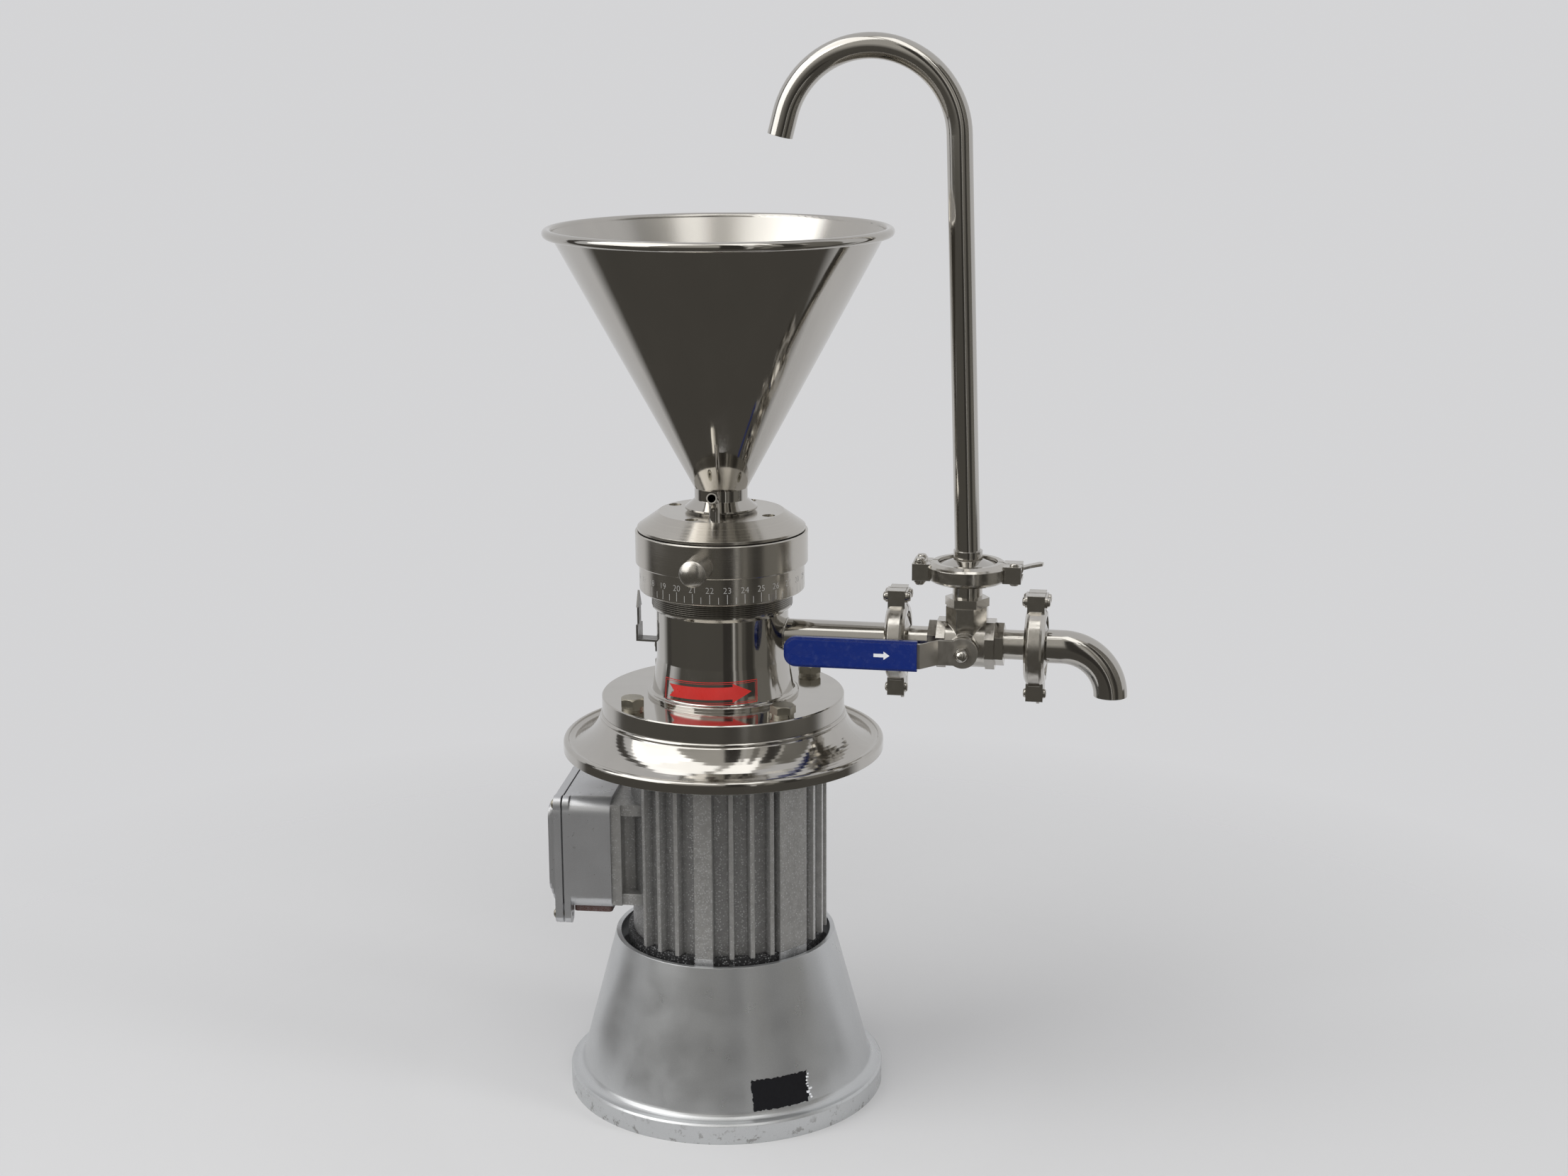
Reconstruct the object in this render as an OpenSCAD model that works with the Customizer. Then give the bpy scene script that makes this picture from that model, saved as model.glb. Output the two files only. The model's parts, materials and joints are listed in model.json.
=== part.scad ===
// Laboratory colloid mill: vertical motor on a cone base, adjustable mill head, feed hopper,
// and an outlet line with a three-way valve, a discharge elbow and a return pipe over the hopper.
// Millimetres, +Z up. The origin is the middle of the foot's underside, and the outlet runs along +X.

/* [Base] */
// Radius of the foot flange
foot_r = 125; // [110:1:150]
// Thickness of the foot flange
foot_t = 16; // [10:0.5:22]
// Width of the flat step between the foot's edge and the cone
foot_step = 8.6; // [6:0.2:14]
// Radius of the fillet between the foot and the cone
cone_fillet = 7; // [3:0.5:10]
// Height of the base
base_h = 127; // [115:1:150]
// Wall of the cone
cone_wall = 3.6; // [2.5:0.1:6]
// Clear gap between the motor's fins and the cone's open top
motor_gap = 2.3; // [1.5:0.1:6]
// Depth of the motor ledge below the open top
ledge_drop = 21; // [16:1:28]
// Thickness of the motor ledge
ledge_t = 6; // [4:0.5:9]

/* [Motor] */
// Radius over the cooling fins
fin_r = 80.7; // [76:0.1:86]
// Depth of the cooling fins
fin_depth = 7.7; // [5:0.1:10]
// Thickness of a fin at its crest
fin_crest = 3.4; // [2:0.1:4.5]
// Thickness of a fin at its root
fin_root = 5; // [3:0.1:6]
// Angle between neighbouring fins
fin_pitch = 11.5; // [10:0.1:12]
// Wall of the barrel under the fins
barrel_wall = 8; // [6:0.5:10]
// Length of the finned barrel
motor_len = 151.5; // [135:0.5:165]
// Height of the lower end shield
lower_shield_h = 25.5; // [23:0.5:30]
// Height of the upper end shield
upper_shield_h = 24; // [22:0.5:30]
// Length of the stator core
core_len = 90; // [70:1:100]
// Radial depth of the stator core
core_depth = 23; // [16:0.5:26]
// Air gap between the motor's rotor and stator
air_gap = 0.4; // [0.3:0.05:0.8]
// Turn of the motor on its flange, seen from above
motor_turn = 4; // [0:1:10]

/* [Terminal box] */
// Height of the box's middle above the barrel's lower end
box_rise = 68.5; // [64:0.5:86]
// Distance from the fins to the pedestal's face
pedestal_reach = 1.8; // [1.5:0.1:8]
// Width of the box
box_w = 96; // [88:1:110]
// Height of the box
box_h = 90; // [84:1:100]
// Depth of the box body
box_depth = 37.5; // [34:0.5:50]
// Wall of the box
box_wall = 3; // [2:0.2:4]
// Corner radius of the box
box_corner = 12; // [9:0.5:16]
// Thickness of the cover's flange
cover_lip_t = 6; // [4:0.2:8]
// Height of the cover's bevelled face
cover_bevel = 6.3; // [4:0.1:9]
// Thickness of the gland plate under the box
gland_t = 5.5; // [4:0.5:8]
// Radius of the cable entry
entry_r = 12.5; // [8:0.5:14]

/* [Drip tray] */
// Radius of the tray
tray_r = 124.7; // [112:0.1:140]
// Sheet thickness of the tray
tray_t = 1.5; // [1:0.1:2.5]
// Height of the tray's rim skirt
tray_rim_h = 9; // [6:0.5:12]
// Drop from the flange to the tray's rim
tray_drop = 20.5; // [16:0.5:26]

/* [Mill housing] */
// Radius of the housing flange
flange_r = 94; // [90:0.5:104]
// Thickness of the housing flange
flange_t = 13.6; // [10:0.2:18]
// Radius of the flange bolts' circle
bolt_circle_r = 82; // [76:0.5:84]
// Radius of a flange bolt's shank
bolt_r = 5; // [4:0.5:5.5]
// Radius of the housing body
body_r = 51; // [49:0.2:52]
// Radius of the body's flared foot
body_foot_r = 54.7; // [53:0.1:56]
// Radius over the adjusting thread
thread_r = 54; // [53:0.1:55]
// Radius of the milling chamber
chamber_r = 43; // [40:0.2:45]
// Height of the outlet above the flange's underside
outlet_h = 61; // [56:0.5:64]
// Height of the thread's lower end above the flange's underside
thread_low_h = 84; // [80:0.5:88]
// Height of the neck's top above the flange's underside
neck_h = 124.5; // [118:0.5:126]

/* [Adjusting ring] */
// Height of the ring's lower edge above the flange's underside
ring_low_h = 97; // [93:0.5:99]
// Radius of the graduated band
dial_r = 63.4; // [61:0.1:66]
// Height of the graduated band
dial_h = 20.8; // [16:0.2:24]
// Step from the graduated band to the grip band
grip_step = 2.7; // [1.5:0.1:4]
// Height of the grip band
grip_h = 25.2; // [23:0.2:30]
// Radial play of the ring on the thread
thread_play = 0.35; // [0.3:0.05:0.5]
// Radius of a handle bar
handle_r = 10; // [7:0.5:10.5]
// Length of a handle bar outside the ring
handle_len = 28; // [20:1:40]
// Angle of the handles, from the front
handle_turn = -2; // [-10:1:10]
// Depth of the handles under the ring's top
handle_drop = 15.5; // [12:0.5:16]

/* [Mill head] */
// Running gap between the ring and the cover
cover_gap = 0.8; // [0.5:0.1:1.5]
// Thickness of the top cover
cover_t = 13.5; // [11:0.5:18]
// Height of the cover's straight edge
cover_edge = 2; // [1:0.2:4]
// Radius of the cover's flat top
cover_top_r = 48; // [46:0.2:56]
// Radius of the cover screws' circle
screw_circle_r = 42; // [40:0.5:43]
// Angle of the first cover screw
screw_turn = -20; // [-25:1:-15]
// Radius of a cooling pipe
cool_r = 4; // [3:0.1:4.5]
// Angle of the cooling pipes, from the front
cool_turn = 5; // [0:1:12]
// Wall of a cooling pipe
cool_wall = 1; // [0.6:0.1:1.4]
// Bend radius of a cooling pipe
cool_bend_r = 12; // [10:0.5:16]
// Radius of the grinding rotor at its wide end
grind_low_r = 30; // [26:0.5:33]
// Radius of the grinding rotor at its narrow end
grind_top_r = 24; // [20:0.5:25]
// Height of the grinding rotor
grind_h = 42; // [36:0.5:44]
// Grinding gap at rest
grind_gap = 0.5; // [0.4:0.05:0.8]
// Number of teeth on the grinding rotor
rotor_teeth = 18; // [10:1:24]

/* [Hopper] */
// Radius of the hopper's neck
neck_r = 20.3; // [18:0.1:22]
// Wall of the neck
neck_wall = 3; // [2:0.1:4]
// Height of the neck above the cover
neck_rise = 18; // [14:0.5:24]
// Radius of the neck's collar
collar_r = 27.7; // [25:0.1:32]
// Radius of the cone at its rim
rim_r = 125.8; // [110:0.1:135]
// Height of the cone
hopper_cone_h = 194; // [160:1:220]
// Radius of the rolled rim's bead
bead_r = 3.6; // [3:0.1:6]
// Sheet thickness of the hopper
hopper_wall = 1.5; // [1:0.1:2.5]

/* [Outlet line] */
// Radius of the outlet pipe and elbow
pipe_r = 12.7; // [10:0.1:14]
// Wall of the pipes
pipe_wall = 1.5; // [1:0.1:2.2]
// Distance of the first clamp from the mill's axis
clamp_x = 136.7; // [126:0.1:150]
// Distance from a line clamp to the valve's middle
valve_reach = 52.6; // [50:0.1:60]
// Height of the return clamp above the outlet line
return_rise = 56; // [54.5:0.5:62]
// Radius of a clamp ferrule
ferrule_r = 25.25; // [24:0.05:26]
// Edge thickness of a clamp ferrule
ferrule_edge = 2.85; // [2:0.05:3.5]
// Thickness of a clamp gasket
gasket_t = 2; // [1.5:0.1:2.5]
// Bend radius of the discharge elbow
elbow_bend_r = 36.5; // [30:0.5:45]
// Straight length of the elbow between its clamp and its bend
elbow_run = 19; // [14:0.5:28]

/* [Clamps] */
// Radius of a clamp ring
ring_r = 31; // [29.5:0.1:33]
// Width of a clamp ring at its lips
ring_w = 15.4; // [14.5:0.1:17]
// Width of a clamp ring at its crest
crest_w = 10.6; // [8:0.1:13]
// Distance of the hinge pins and the swing bolt from the clamp's axis
ear_x = 35.5; // [34.6:0.1:38]
// Width of the hinge and bolt ears
ear_w = 13; // [11:0.1:14]
// Radius of the hinge and pivot pins
pin_r = 2.5; // [1.8:0.1:2.8]
// Radius of the swing bolt
swing_r = 3; // [2.5:0.1:3.2]
// Half span of a wing nut
wing_span = 19; // [16:0.5:21]

/* [Valve] */
// Radius of the valve's ball
ball_r = 13.5; // [12.5:0.1:14]
// Radius of the ports
port_r = 8.5; // [6:0.1:9]
// Wall of the valve body round the ball
valve_wall = 4.6; // [3.5:0.1:5.5]
// Half length of the valve body
valve_half = 22; // [20.5:0.2:24]
// Width over the flats of the screwed ends
end_flats = 29; // [28.4:0.2:32]
// Length of the screwed ends' hexagon
end_hex = 6.6; // [4:0.2:9]
// Radius of the screwed ends' stub
stub_r = 11.25; // [10.8:0.05:12.5]
// Distance of the lever's hub from the line's axis
hub_out = 30; // [28:0.5:34]
// Outward step of the lever
lever_step = 14; // [10:0.5:18]
// Thickness of the lever
lever_t = 3; // [2:0.2:4]
// Width of the lever
lever_w = 19; // [16:0.5:22]
// Distance from the stem to the grip
grip_start = 32; // [30:1:40]
// Length of the grip
grip_len = 100.5; // [80:0.5:120]
// Width of the grip
grip_w = 23; // [21:0.5:26]
// Thickness of the grip
grip_t = 7; // [6:0.2:9]

/* [Return pipe] */
// Radius of the return pipe
return_r = 9.525; // [8:0.025:10]
// Lean of the riser towards the hopper
return_lean = 1.9; // [0:0.1:3]
// Length of the riser from its ferrule to the arch
riser_len = 322; // [280:1:360]
// Radius of the arch
arch_r = 65; // [50:0.5:80]
// Straight length after the arch
spout_len = 16; // [4:0.5:30]

/* [Hidden] */
$fn = 64;

// Clearances: between pieces of one body, and between pieces that move past each other.
fit_gap = 0.05;
run_gap = 0.3;
// Small overlap that lets a cut run clear of a face.
past = 1;

// Base and motor levels.
ledge_z = base_h - ledge_drop;
motor_z = ledge_z + lower_shield_h;
motor_top = motor_z + motor_len;
core_mid = (motor_z + motor_top) / 2;
flange_z = motor_top + upper_shield_h + tray_t;
cone_top_r = fin_r + motor_gap + cone_wall;
cone_low_r = foot_r - foot_step;
cone_slope = (cone_low_r - cone_top_r) / (base_h - foot_t);
cone_tilt = atan(cone_slope);
foot_edge = 1.5;
ledge_in_r = fin_r - 20;

// Motor radii.
barrel_r = fin_r - fin_depth;
bore_r = barrel_r - barrel_wall;
shield_r = fin_r - 3.7;
shield_skin = 8;
pad_w = 14;
pad_at = 94;
flat_w = 28;
flat_at = 40;
pad_drop = 7.2;
core_in_r = bore_r - core_depth;
winding_h = 18;
upper_flange_t = 14;
upper_flange_r = flange_r - 3;

// Shaft steps and bearings.
fan_seat_r = 9;
low_seat_r = 10;
rotor_seat_r = 16;
top_seat_r = 15;
shaft_r = 12;
grind_seat_r = 9;
nut_thread_r = 7;
stud_len = 11;
low_bearing_r = 23.5;
low_bearing_w = 14;
top_bearing_r = 31;
top_bearing_w = 16;
bearing_floor = 4;
fan_hub_h = 18;
fan_z = ledge_z - ledge_t - 8 - fan_hub_h;
fan_r = ledge_in_r + 8;

// Terminal box planes, as distances from the motor's axis.
box_z = motor_z + box_rise;
pad_x = fin_r + pedestal_reach;
plate_t = 8;
box_x = pad_x + box_depth;
gasket_x = box_x + 1.2;
lip_x = gasket_x + cover_lip_t;
ear_r = 7;
ear_below = 6;
cover_screw_r = 2;
cover_head_r = 3.6;

// Mill head levels and radii.
outlet_z = flange_z + outlet_h;
flange_top = flange_z + flange_t;
thread_z = flange_z + thread_low_h;
neck_top = flange_z + neck_h;
ring_z = flange_z + ring_low_h;
dial_top = ring_z + dial_h;
grip_r = dial_r + grip_step;
ring_top = dial_top + grip_h;
handle_z = ring_top - handle_drop;
ring_bore_r = thread_r + thread_play;
handle_stud_r = handle_r / 2;
stud_start = ring_bore_r + 3;
lip_t = 8;
cap_z = ring_top + cover_gap;
cap_top = cap_z + cover_t;
cover_r = grip_r - 1.8;
stator_neck_r = screw_circle_r + cool_r + 3;
lip_r = stator_neck_r + run_gap;
stator_flange_top = ring_top - lip_t - run_gap;
stator_flange_t = 6.5;
throat_r = neck_r - neck_wall;
chamber_z = flange_z + 36;
seal_r = 23;
seal_h = 8;
seal_face = 2;
grind_z = neck_top - 3 - grind_h;
grind_top = grind_z + grind_h;
grind_slope = (grind_low_r - grind_top_r) / grind_h;
stator_low = grind_z + 9;
screw_r = 2.5;
screw_head_r = 4.6;
screw_head_h = 5;
screw_deep = 6;
screw_sunk = 1;
cool_deep = 5;
washer_t = 2.5;

// Hopper levels.
seat_z = cap_z + 4;
cone_z = cap_top + neck_rise;
rim_z = cone_z + hopper_cone_h;
collar_gap = 1.5;
collar_edge = 2;
collar_rise = 8;

// Bends: a cooling pipe's end runs 24 out for 7 up, and the spout leans 7 out for 24 down.
cool_bend = atan(24 / 7);
arch_turn = 180 - atan(7 / 24);

// Outlet line places.
valve_x = clamp_x + valve_reach;
exit_x = valve_x + valve_reach;
return_z = outlet_z + return_rise;
ferrule_slope = tan(20);
spigot_r = ball_r + 0.4;
seat_out = ball_r + 1;
neck_out = 29.5;
end_bore_r = port_r + 0.5;

// Clamp section: the groove follows the ferrules with a running gap.
groove_r = ferrule_r + run_gap;
groove_half = gasket_t / 2 + ferrule_edge + run_gap;
lip_in_r = ferrule_r - 2.8;
lip_half = groove_half + (groove_r - lip_in_r) * ferrule_slope;
split = 0.8;
ear_y = 6.1;
ear_r_out = 5.4;
link_t = 1.8;
rivet_h = 2.4;
swing_slot = swing_r + 0.5;
nut_y = ear_y + ear_r_out + run_gap;
nut_h = 8;
nut_r = 5.4;
wing_t = 2.2;

// Stem, lever end, gland and boss of the valve, and the reach of its screwed ends.
stem_r = 4.6;
square_w = 6.4;
stud_r = square_w / 2 - 0.2;
lever_short = 6;
tang_w = 5;
tang_deep = 4;
gland_r = 7.6;
gland_deep = 5;
gland_out = 26.5;
boss_out = 23;
line_end_reach = valve_reach - valve_half - gasket_t / 2;
return_end_reach = return_rise - neck_out - gasket_t / 2;

// Pointer strip sizes, on the side of the body away from the outlet.
pointer_turn = 177;
pointer_t = 1.5;
pointer_w = 13;
pointer_arm_w = 5.6;
pointer_head_w = 10;
pointer_head_len = 12.8;
pointer_len = 37.8;
pointer_screw_r = 2;
pointer_screw_len = 6;
pointer_out = dial_r + 3;
pointer_leg_z = outlet_z - 8;
pointer_screw_z = pointer_leg_z - 5;
pointer_tip_z = pointer_leg_z + pointer_len;

// Angles of the cooling fins: five on the side away from the pedestal, three in each other group.
fin_group_angles = [67, 121];
fin_angles = concat(
  [for (k = [-2:2]) k * fin_pitch],
  [for (side = [-1, 1], middle = fin_group_angles, k = [-1:1]) side * (middle + k * fin_pitch)]
);

// Points on a circular arc about c.
function arc(c, r, a0, a1, n = 6) =
  [for (i = [0:n]) let (a = a0 + (a1 - a0) * i / n) [c[0] + r * cos(a), c[1] + r * sin(a)]];

// Radius of the cone's outer face at a height.
function cone_at(z) = cone_low_r - (z - foot_t) * cone_slope;

// Radius of the cone's inner face at a height.
function cone_in(z) = cone_at(z) - cone_wall / cos(cone_tilt);

// Radius of the grinding rotor's face at a height.
function grind_at(z) = grind_low_r - (z - grind_z) * grind_slope;

// Solid of revolution about +Z.
module turned(points) {
  rotate_extrude()
    polygon(points);
}

// Turns children so that their +Z points along +X.
module along_x() {
  rotate([0, 90, 0])
    children();
}

// Turns children so that their +Z points along -Y.
module towards_front() {
  rotate([90, 0, 0])
    children();
}

// Straight tube.
module tube(r, inner, h) {
  difference() {
    cylinder(r = r, h = h);
    translate([0, 0, -past])
      cylinder(r = inner, h = h + 2 * past);
  }
}

// Hexagonal prism given by its width over flats.
module hexagon(flats, h) {
  cylinder(r = flats / sqrt(3), h = h, $fn = 6);
}

// Rectangle with round corners, centred.
module round_rect(w, h, r) {
  square([w - 2 * r, h], center = true);
  square([w, h - 2 * r], center = true);
  for (x = [-1, 1], y = [-1, 1])
    translate([x * (w / 2 - r), y * (h / 2 - r)])
      circle(r);
}

// Copies children at the four flange bolts.
module at_flange_bolts() {
  for (a = [45:90:315])
    rotate(a)
      translate([bolt_circle_r, 0, 0])
        children();
}

// Copies children at the two cooling pipes, turned so that -X points outwards.
module at_cooling_pipes() {
  for (turn = [90, -90])
    rotate(turn + cool_turn)
      translate([-screw_circle_r, 0, 0])
        children();
}

// Copies children at the four cover screws.
module at_cover_screws() {
  for (k = [0:3])
    rotate(screw_turn + 90 * k)
      translate([screw_circle_r, 0, 0])
        children();
}

module base_cone() {
  fillet_x = cone_low_r - cone_fillet * cone_slope + cone_fillet / cos(cone_tilt);
  color("silver")
    turned(concat(
      [[cone_in(0), 0], [foot_r, 0], [foot_r, foot_t - foot_edge], [foot_r - foot_edge, foot_t]],
      arc([fillet_x, foot_t + cone_fillet], cone_fillet, 270, 180 + cone_tilt),
      [
        [cone_top_r, base_h],
        [cone_top_r - cone_wall, base_h],
        [cone_in(ledge_z), ledge_z],
        [ledge_in_r, ledge_z],
        [ledge_in_r, ledge_z - ledge_t],
        [cone_in(ledge_z - ledge_t), ledge_z - ledge_t]
      ]
    ));
}

// Outline of the flat pads on the barrel.
module pad_outline() {
  pad_low = 0.6;
  flat_low = 2.2;
  for (side = [-1, 1]) {
    rotate(side * pad_at)
      translate([0, -pad_w / 2])
        square([fin_r - pad_low, pad_w]);
    rotate(side * flat_at)
      translate([0, -flat_w / 2])
        square([fin_r - flat_low, flat_w]);
  }
}

// Outline of the finned barrel.
module barrel_outline() {
  root_r = barrel_r - 2;
  circle(barrel_r);
  pad_outline();
  for (a = fin_angles)
    rotate(a)
      polygon([
        [root_r, -fin_root / 2],
        [fin_r, -fin_crest / 2],
        [fin_r, fin_crest / 2],
        [root_r, fin_root / 2]
      ]);
}

module motor_frame() {
  web_t = 9;
  web_run = pad_x - bore_r + 18;
  plate_w = box_w - 4;
  plate_h = box_h - 8;
  web_w = plate_w - 4;
  core_w = plate_w - 30;
  color("silver")
    rotate(motor_turn)
      difference() {
        union() {
          translate([0, 0, motor_z])
            linear_extrude(motor_len)
              barrel_outline();
          translate([-pad_x, -plate_w / 2, box_z - plate_h / 2])
            cube([plate_t, plate_w, plate_h]);
          translate([-pad_x, -core_w / 2, box_z - plate_h / 2])
            cube([pad_x - bore_r, core_w, plate_h]);
          for (z = [box_z - plate_h / 2, box_z + plate_h / 2 - web_t])
            translate([-pad_x, -web_w / 2, z])
              cube([web_run, web_w, web_t]);
        }
        translate([0, 0, motor_z - past])
          cylinder(r = bore_r, h = motor_len + 2 * past);
        translate([-pad_x - past, 0, box_z])
          along_x()
            cylinder(r = entry_r, h = web_run);
      }
}

module lower_end_shield() {
  hub_r = low_bearing_r + 6;
  color("silver") {
    turned([
      [low_seat_r + past, ledge_z],
      [shield_r, ledge_z],
      [shield_r, motor_z],
      [bore_r, motor_z],
      [bore_r, ledge_z + shield_skin],
      [hub_r, ledge_z + shield_skin],
      [hub_r, ledge_z + bearing_floor + low_bearing_w],
      [low_bearing_r, ledge_z + bearing_floor + low_bearing_w],
      [low_bearing_r, ledge_z + bearing_floor],
      [low_seat_r + past, ledge_z + bearing_floor]
    ]);
    rotate(motor_turn)
      translate([0, 0, motor_z - pad_drop])
        linear_extrude(pad_drop)
          difference() {
            pad_outline();
            circle(shield_r - past);
          }
  }
}

module upper_end_shield() {
  top_z = flange_z - tray_t;
  color("silver")
    difference() {
      turned([
        [top_bearing_r, motor_top],
        [shield_r, motor_top],
        [shield_r, top_z - upper_flange_t],
        [upper_flange_r, top_z - upper_flange_t],
        [upper_flange_r, top_z],
        [shaft_r + past, top_z],
        [shaft_r + past, motor_top + top_bearing_w],
        [top_bearing_r, motor_top + top_bearing_w]
      ]);
      at_flange_bolts()
        translate([0, 0, top_z - upper_flange_t - past])
          cylinder(r = bolt_r + fit_gap, h = upper_flange_t + 2 * past);
    }
}

module stator_core() {
  color("dimgray")
    translate([0, 0, core_mid - core_len / 2])
      tube(bore_r - fit_gap, core_in_r, core_len);
}

module stator_winding() {
  inner = core_in_r + 4;
  outer = bore_r - 4;
  corner = 4;
  color("sienna")
    for (side = [0, 1])
      translate([0, 0, core_mid])
        mirror([0, 0, side])
          translate([0, 0, core_len / 2])
            turned([
              [inner, 0],
              [outer, 0],
              [outer, winding_h - corner],
              [outer - corner, winding_h],
              [inner + corner, winding_h],
              [inner, winding_h - corner]
            ]);
}

module motor_bearings() {
  color("lightgray") {
    translate([0, 0, ledge_z + bearing_floor])
      tube(low_bearing_r - fit_gap, low_seat_r + fit_gap, low_bearing_w);
    translate([0, 0, motor_top])
      tube(top_bearing_r - fit_gap, top_seat_r + fit_gap, top_bearing_w);
  }
}

// Stands children on the terminal box's axis: local +Z points away from the motor, local +Y points up.
module at_box(x) {
  rotate(motor_turn)
    translate([-x, 0, box_z])
      rotate([90, 0, -90])
        children();
}

// Places of the four cover screws on the box's face.
module at_box_corners() {
  for (x = [-1, 1], y = [-1, 1])
    translate([x * (box_w / 2 - ear_r), y * (box_h / 2 + (y < 0 ? ear_below : 1 - ear_r))])
      children();
}

// Outline of the box flange with its four screw ears.
module box_flange_outline() {
  round_rect(box_w, box_h, box_corner);
  at_box_corners()
    circle(ear_r);
  for (x = [-1, 1])
    translate([x * (box_w / 2 - ear_r), -box_h / 2 - ear_below / 2 + box_corner])
      square([2 * ear_r, 2 * box_corner + ear_below], center = true);
}

module terminal_box() {
  flange_band = 5;
  inner_w = box_w - 2 * box_wall;
  inner_h = box_h - 2 * box_wall;
  color("silver")
    difference() {
      union() {
        at_box(pad_x)
          linear_extrude(box_depth)
            round_rect(box_w, box_h, box_corner);
        at_box(box_x - flange_band)
          linear_extrude(flange_band)
            box_flange_outline();
      }
      at_box(pad_x + box_wall)
        linear_extrude(box_depth)
          round_rect(inner_w, inner_h, box_corner - box_wall);
      at_box(pad_x - past)
        cylinder(r = entry_r, h = box_wall + 2 * past);
      at_box(box_x - flange_band - past)
        linear_extrude(flange_band + 2 * past)
          at_box_corners()
            circle(cover_screw_r + fit_gap);
      at_box(pad_x + box_depth / 2)
        translate([0, -box_h / 2 + box_wall + past, 0])
          rotate([90, 0, 0])
            cylinder(r = entry_r, h = box_wall + 2 * past);
    }
}

module gland_plate() {
  margin = 3.7;
  shift = 1.5;
  corner = 3;
  plate_w = box_w - 2 * box_corner;
  plate_d = box_depth - 2 * margin;
  color("saddlebrown")
    at_box(pad_x + box_depth / 2 - shift)
      translate([0, -box_h / 2 - gland_t, 0])
        rotate([-90, 0, 0])
          difference() {
            linear_extrude(gland_t)
              round_rect(plate_w, plate_d, corner);
            translate([0, -shift, -past])
              cylinder(r = entry_r, h = gland_t + 2 * past);
          }
}

module terminal_box_gasket() {
  inset = 0.5;
  color("dimgray")
    at_box(box_x)
      linear_extrude(gasket_x - box_x)
        difference() {
          round_rect(box_w - 2 * inset, box_h - 2 * inset, box_corner - inset);
          round_rect(box_w - 2 * box_wall, box_h - 2 * box_wall, box_corner - box_wall);
          at_box_corners()
            circle(cover_screw_r + fit_gap);
        }
}

module terminal_box_cover() {
  skin = 2.5;
  bevels = 3;
  edge_in = 4;
  bevel_in = 3;
  pocket_in = 15;
  function inset(k) = 2 * (edge_in + (k - 1) * bevel_in);
  color("silver")
    difference() {
      union() {
        at_box(gasket_x)
          linear_extrude(cover_lip_t)
            box_flange_outline();
        at_box(lip_x)
          for (k = [1:bevels])
            linear_extrude(cover_bevel * k / bevels)
              round_rect(box_w - inset(k), box_h - inset(k), box_corner - bevel_in);
      }
      at_box(gasket_x - past)
        linear_extrude(cover_lip_t + cover_bevel - skin + past)
          round_rect(box_w - 2 * pocket_in, box_h - 2 * pocket_in, box_corner - 2 * bevel_in);
      at_box(gasket_x - past)
        linear_extrude(cover_lip_t + 2 * past)
          at_box_corners()
            circle(cover_screw_r + fit_gap);
      at_box(lip_x)
        linear_extrude(cover_bevel + past)
          at_box_corners()
            circle(cover_head_r + 1);
    }
}

module terminal_cover_screws() {
  head_h = 2.6;
  side_h = head_h - 1;
  face_r = cover_head_r - 1.4;
  thread_in = 4;
  shank = lip_x - box_x + thread_in;
  color("lightgray")
    at_box(box_x - thread_in)
      at_box_corners() {
        cylinder(r = cover_screw_r, h = shank);
        translate([0, 0, shank])
          turned([[0, 0], [cover_head_r, 0], [cover_head_r, side_h], [face_r, head_h], [0, head_h]]);
      }
}

module terminal_block() {
  block = [44, 30, 16];
  pitch = [14, 8];
  post_r = 2.4;
  post_h = 6;
  color("ivory")
    at_box(pad_x + box_wall)
      translate([0, box_h / 5, 0]) {
        translate([-block[0] / 2, -block[1] / 2, 0])
          cube(block);
        for (x = [-1:1], y = [-1, 1])
          translate([x * pitch[0], y * pitch[1], block[2]])
            cylinder(r = post_r, h = post_h);
      }
}

module drip_tray() {
  hub_r = shaft_r + 20;
  lip_bead = 2.4;
  bead_c = [flange_r - 1, flange_z - lip_bead];
  rim_top = flange_z - tray_drop;
  gutter_r = 4.5;
  gutter_start = 250;
  gutter_end = 320;
  gutter_c = [tray_r - 7.5, rim_top + 1];
  gutter_dir = [cos(gutter_start), sin(gutter_start)];
  sweep_end = gutter_c + gutter_r * gutter_dir;
  sweep_from = [flange_r + 2, flange_z - 4];
  reach = sweep_from - sweep_end;
  sweep_r = -(reach * reach) / (2 * (reach * gutter_dir));
  sweep_c = sweep_end - sweep_r * gutter_dir;
  sweep_start = 360 + atan2(sweep_from[1] - sweep_c[1], sweep_from[0] - sweep_c[0]);
  step_a = 10;
  curl_r = 3;
  curl_start = 110;
  curl_c = [tray_r - curl_r, rim_top - curl_r];
  color("gainsboro")
    difference() {
      turned(concat(
        [[hub_r, flange_z - tray_t], [hub_r, flange_z]],
        arc(bead_c, lip_bead, 90, -20),
        arc(sweep_c, sweep_r, sweep_start, gutter_start, 12),
        arc(gutter_c, gutter_r, gutter_start + step_a, gutter_end),
        arc(curl_c, curl_r, curl_start, 0),
        [[tray_r, rim_top - tray_rim_h], [tray_r - tray_t, rim_top - tray_rim_h]],
        arc(curl_c, curl_r - tray_t, 0, curl_start),
        arc(gutter_c, gutter_r + tray_t, gutter_end, gutter_start + step_a),
        arc(sweep_c, sweep_r + tray_t, gutter_start, sweep_start, 12),
        [[bead_c[0] - 0.5, flange_z - tray_t]]
      ));
      at_flange_bolts()
        translate([0, 0, flange_z - tray_t - past])
          cylinder(r = bolt_r + fit_gap, h = tray_t + 2 * past);
    }
}

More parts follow.
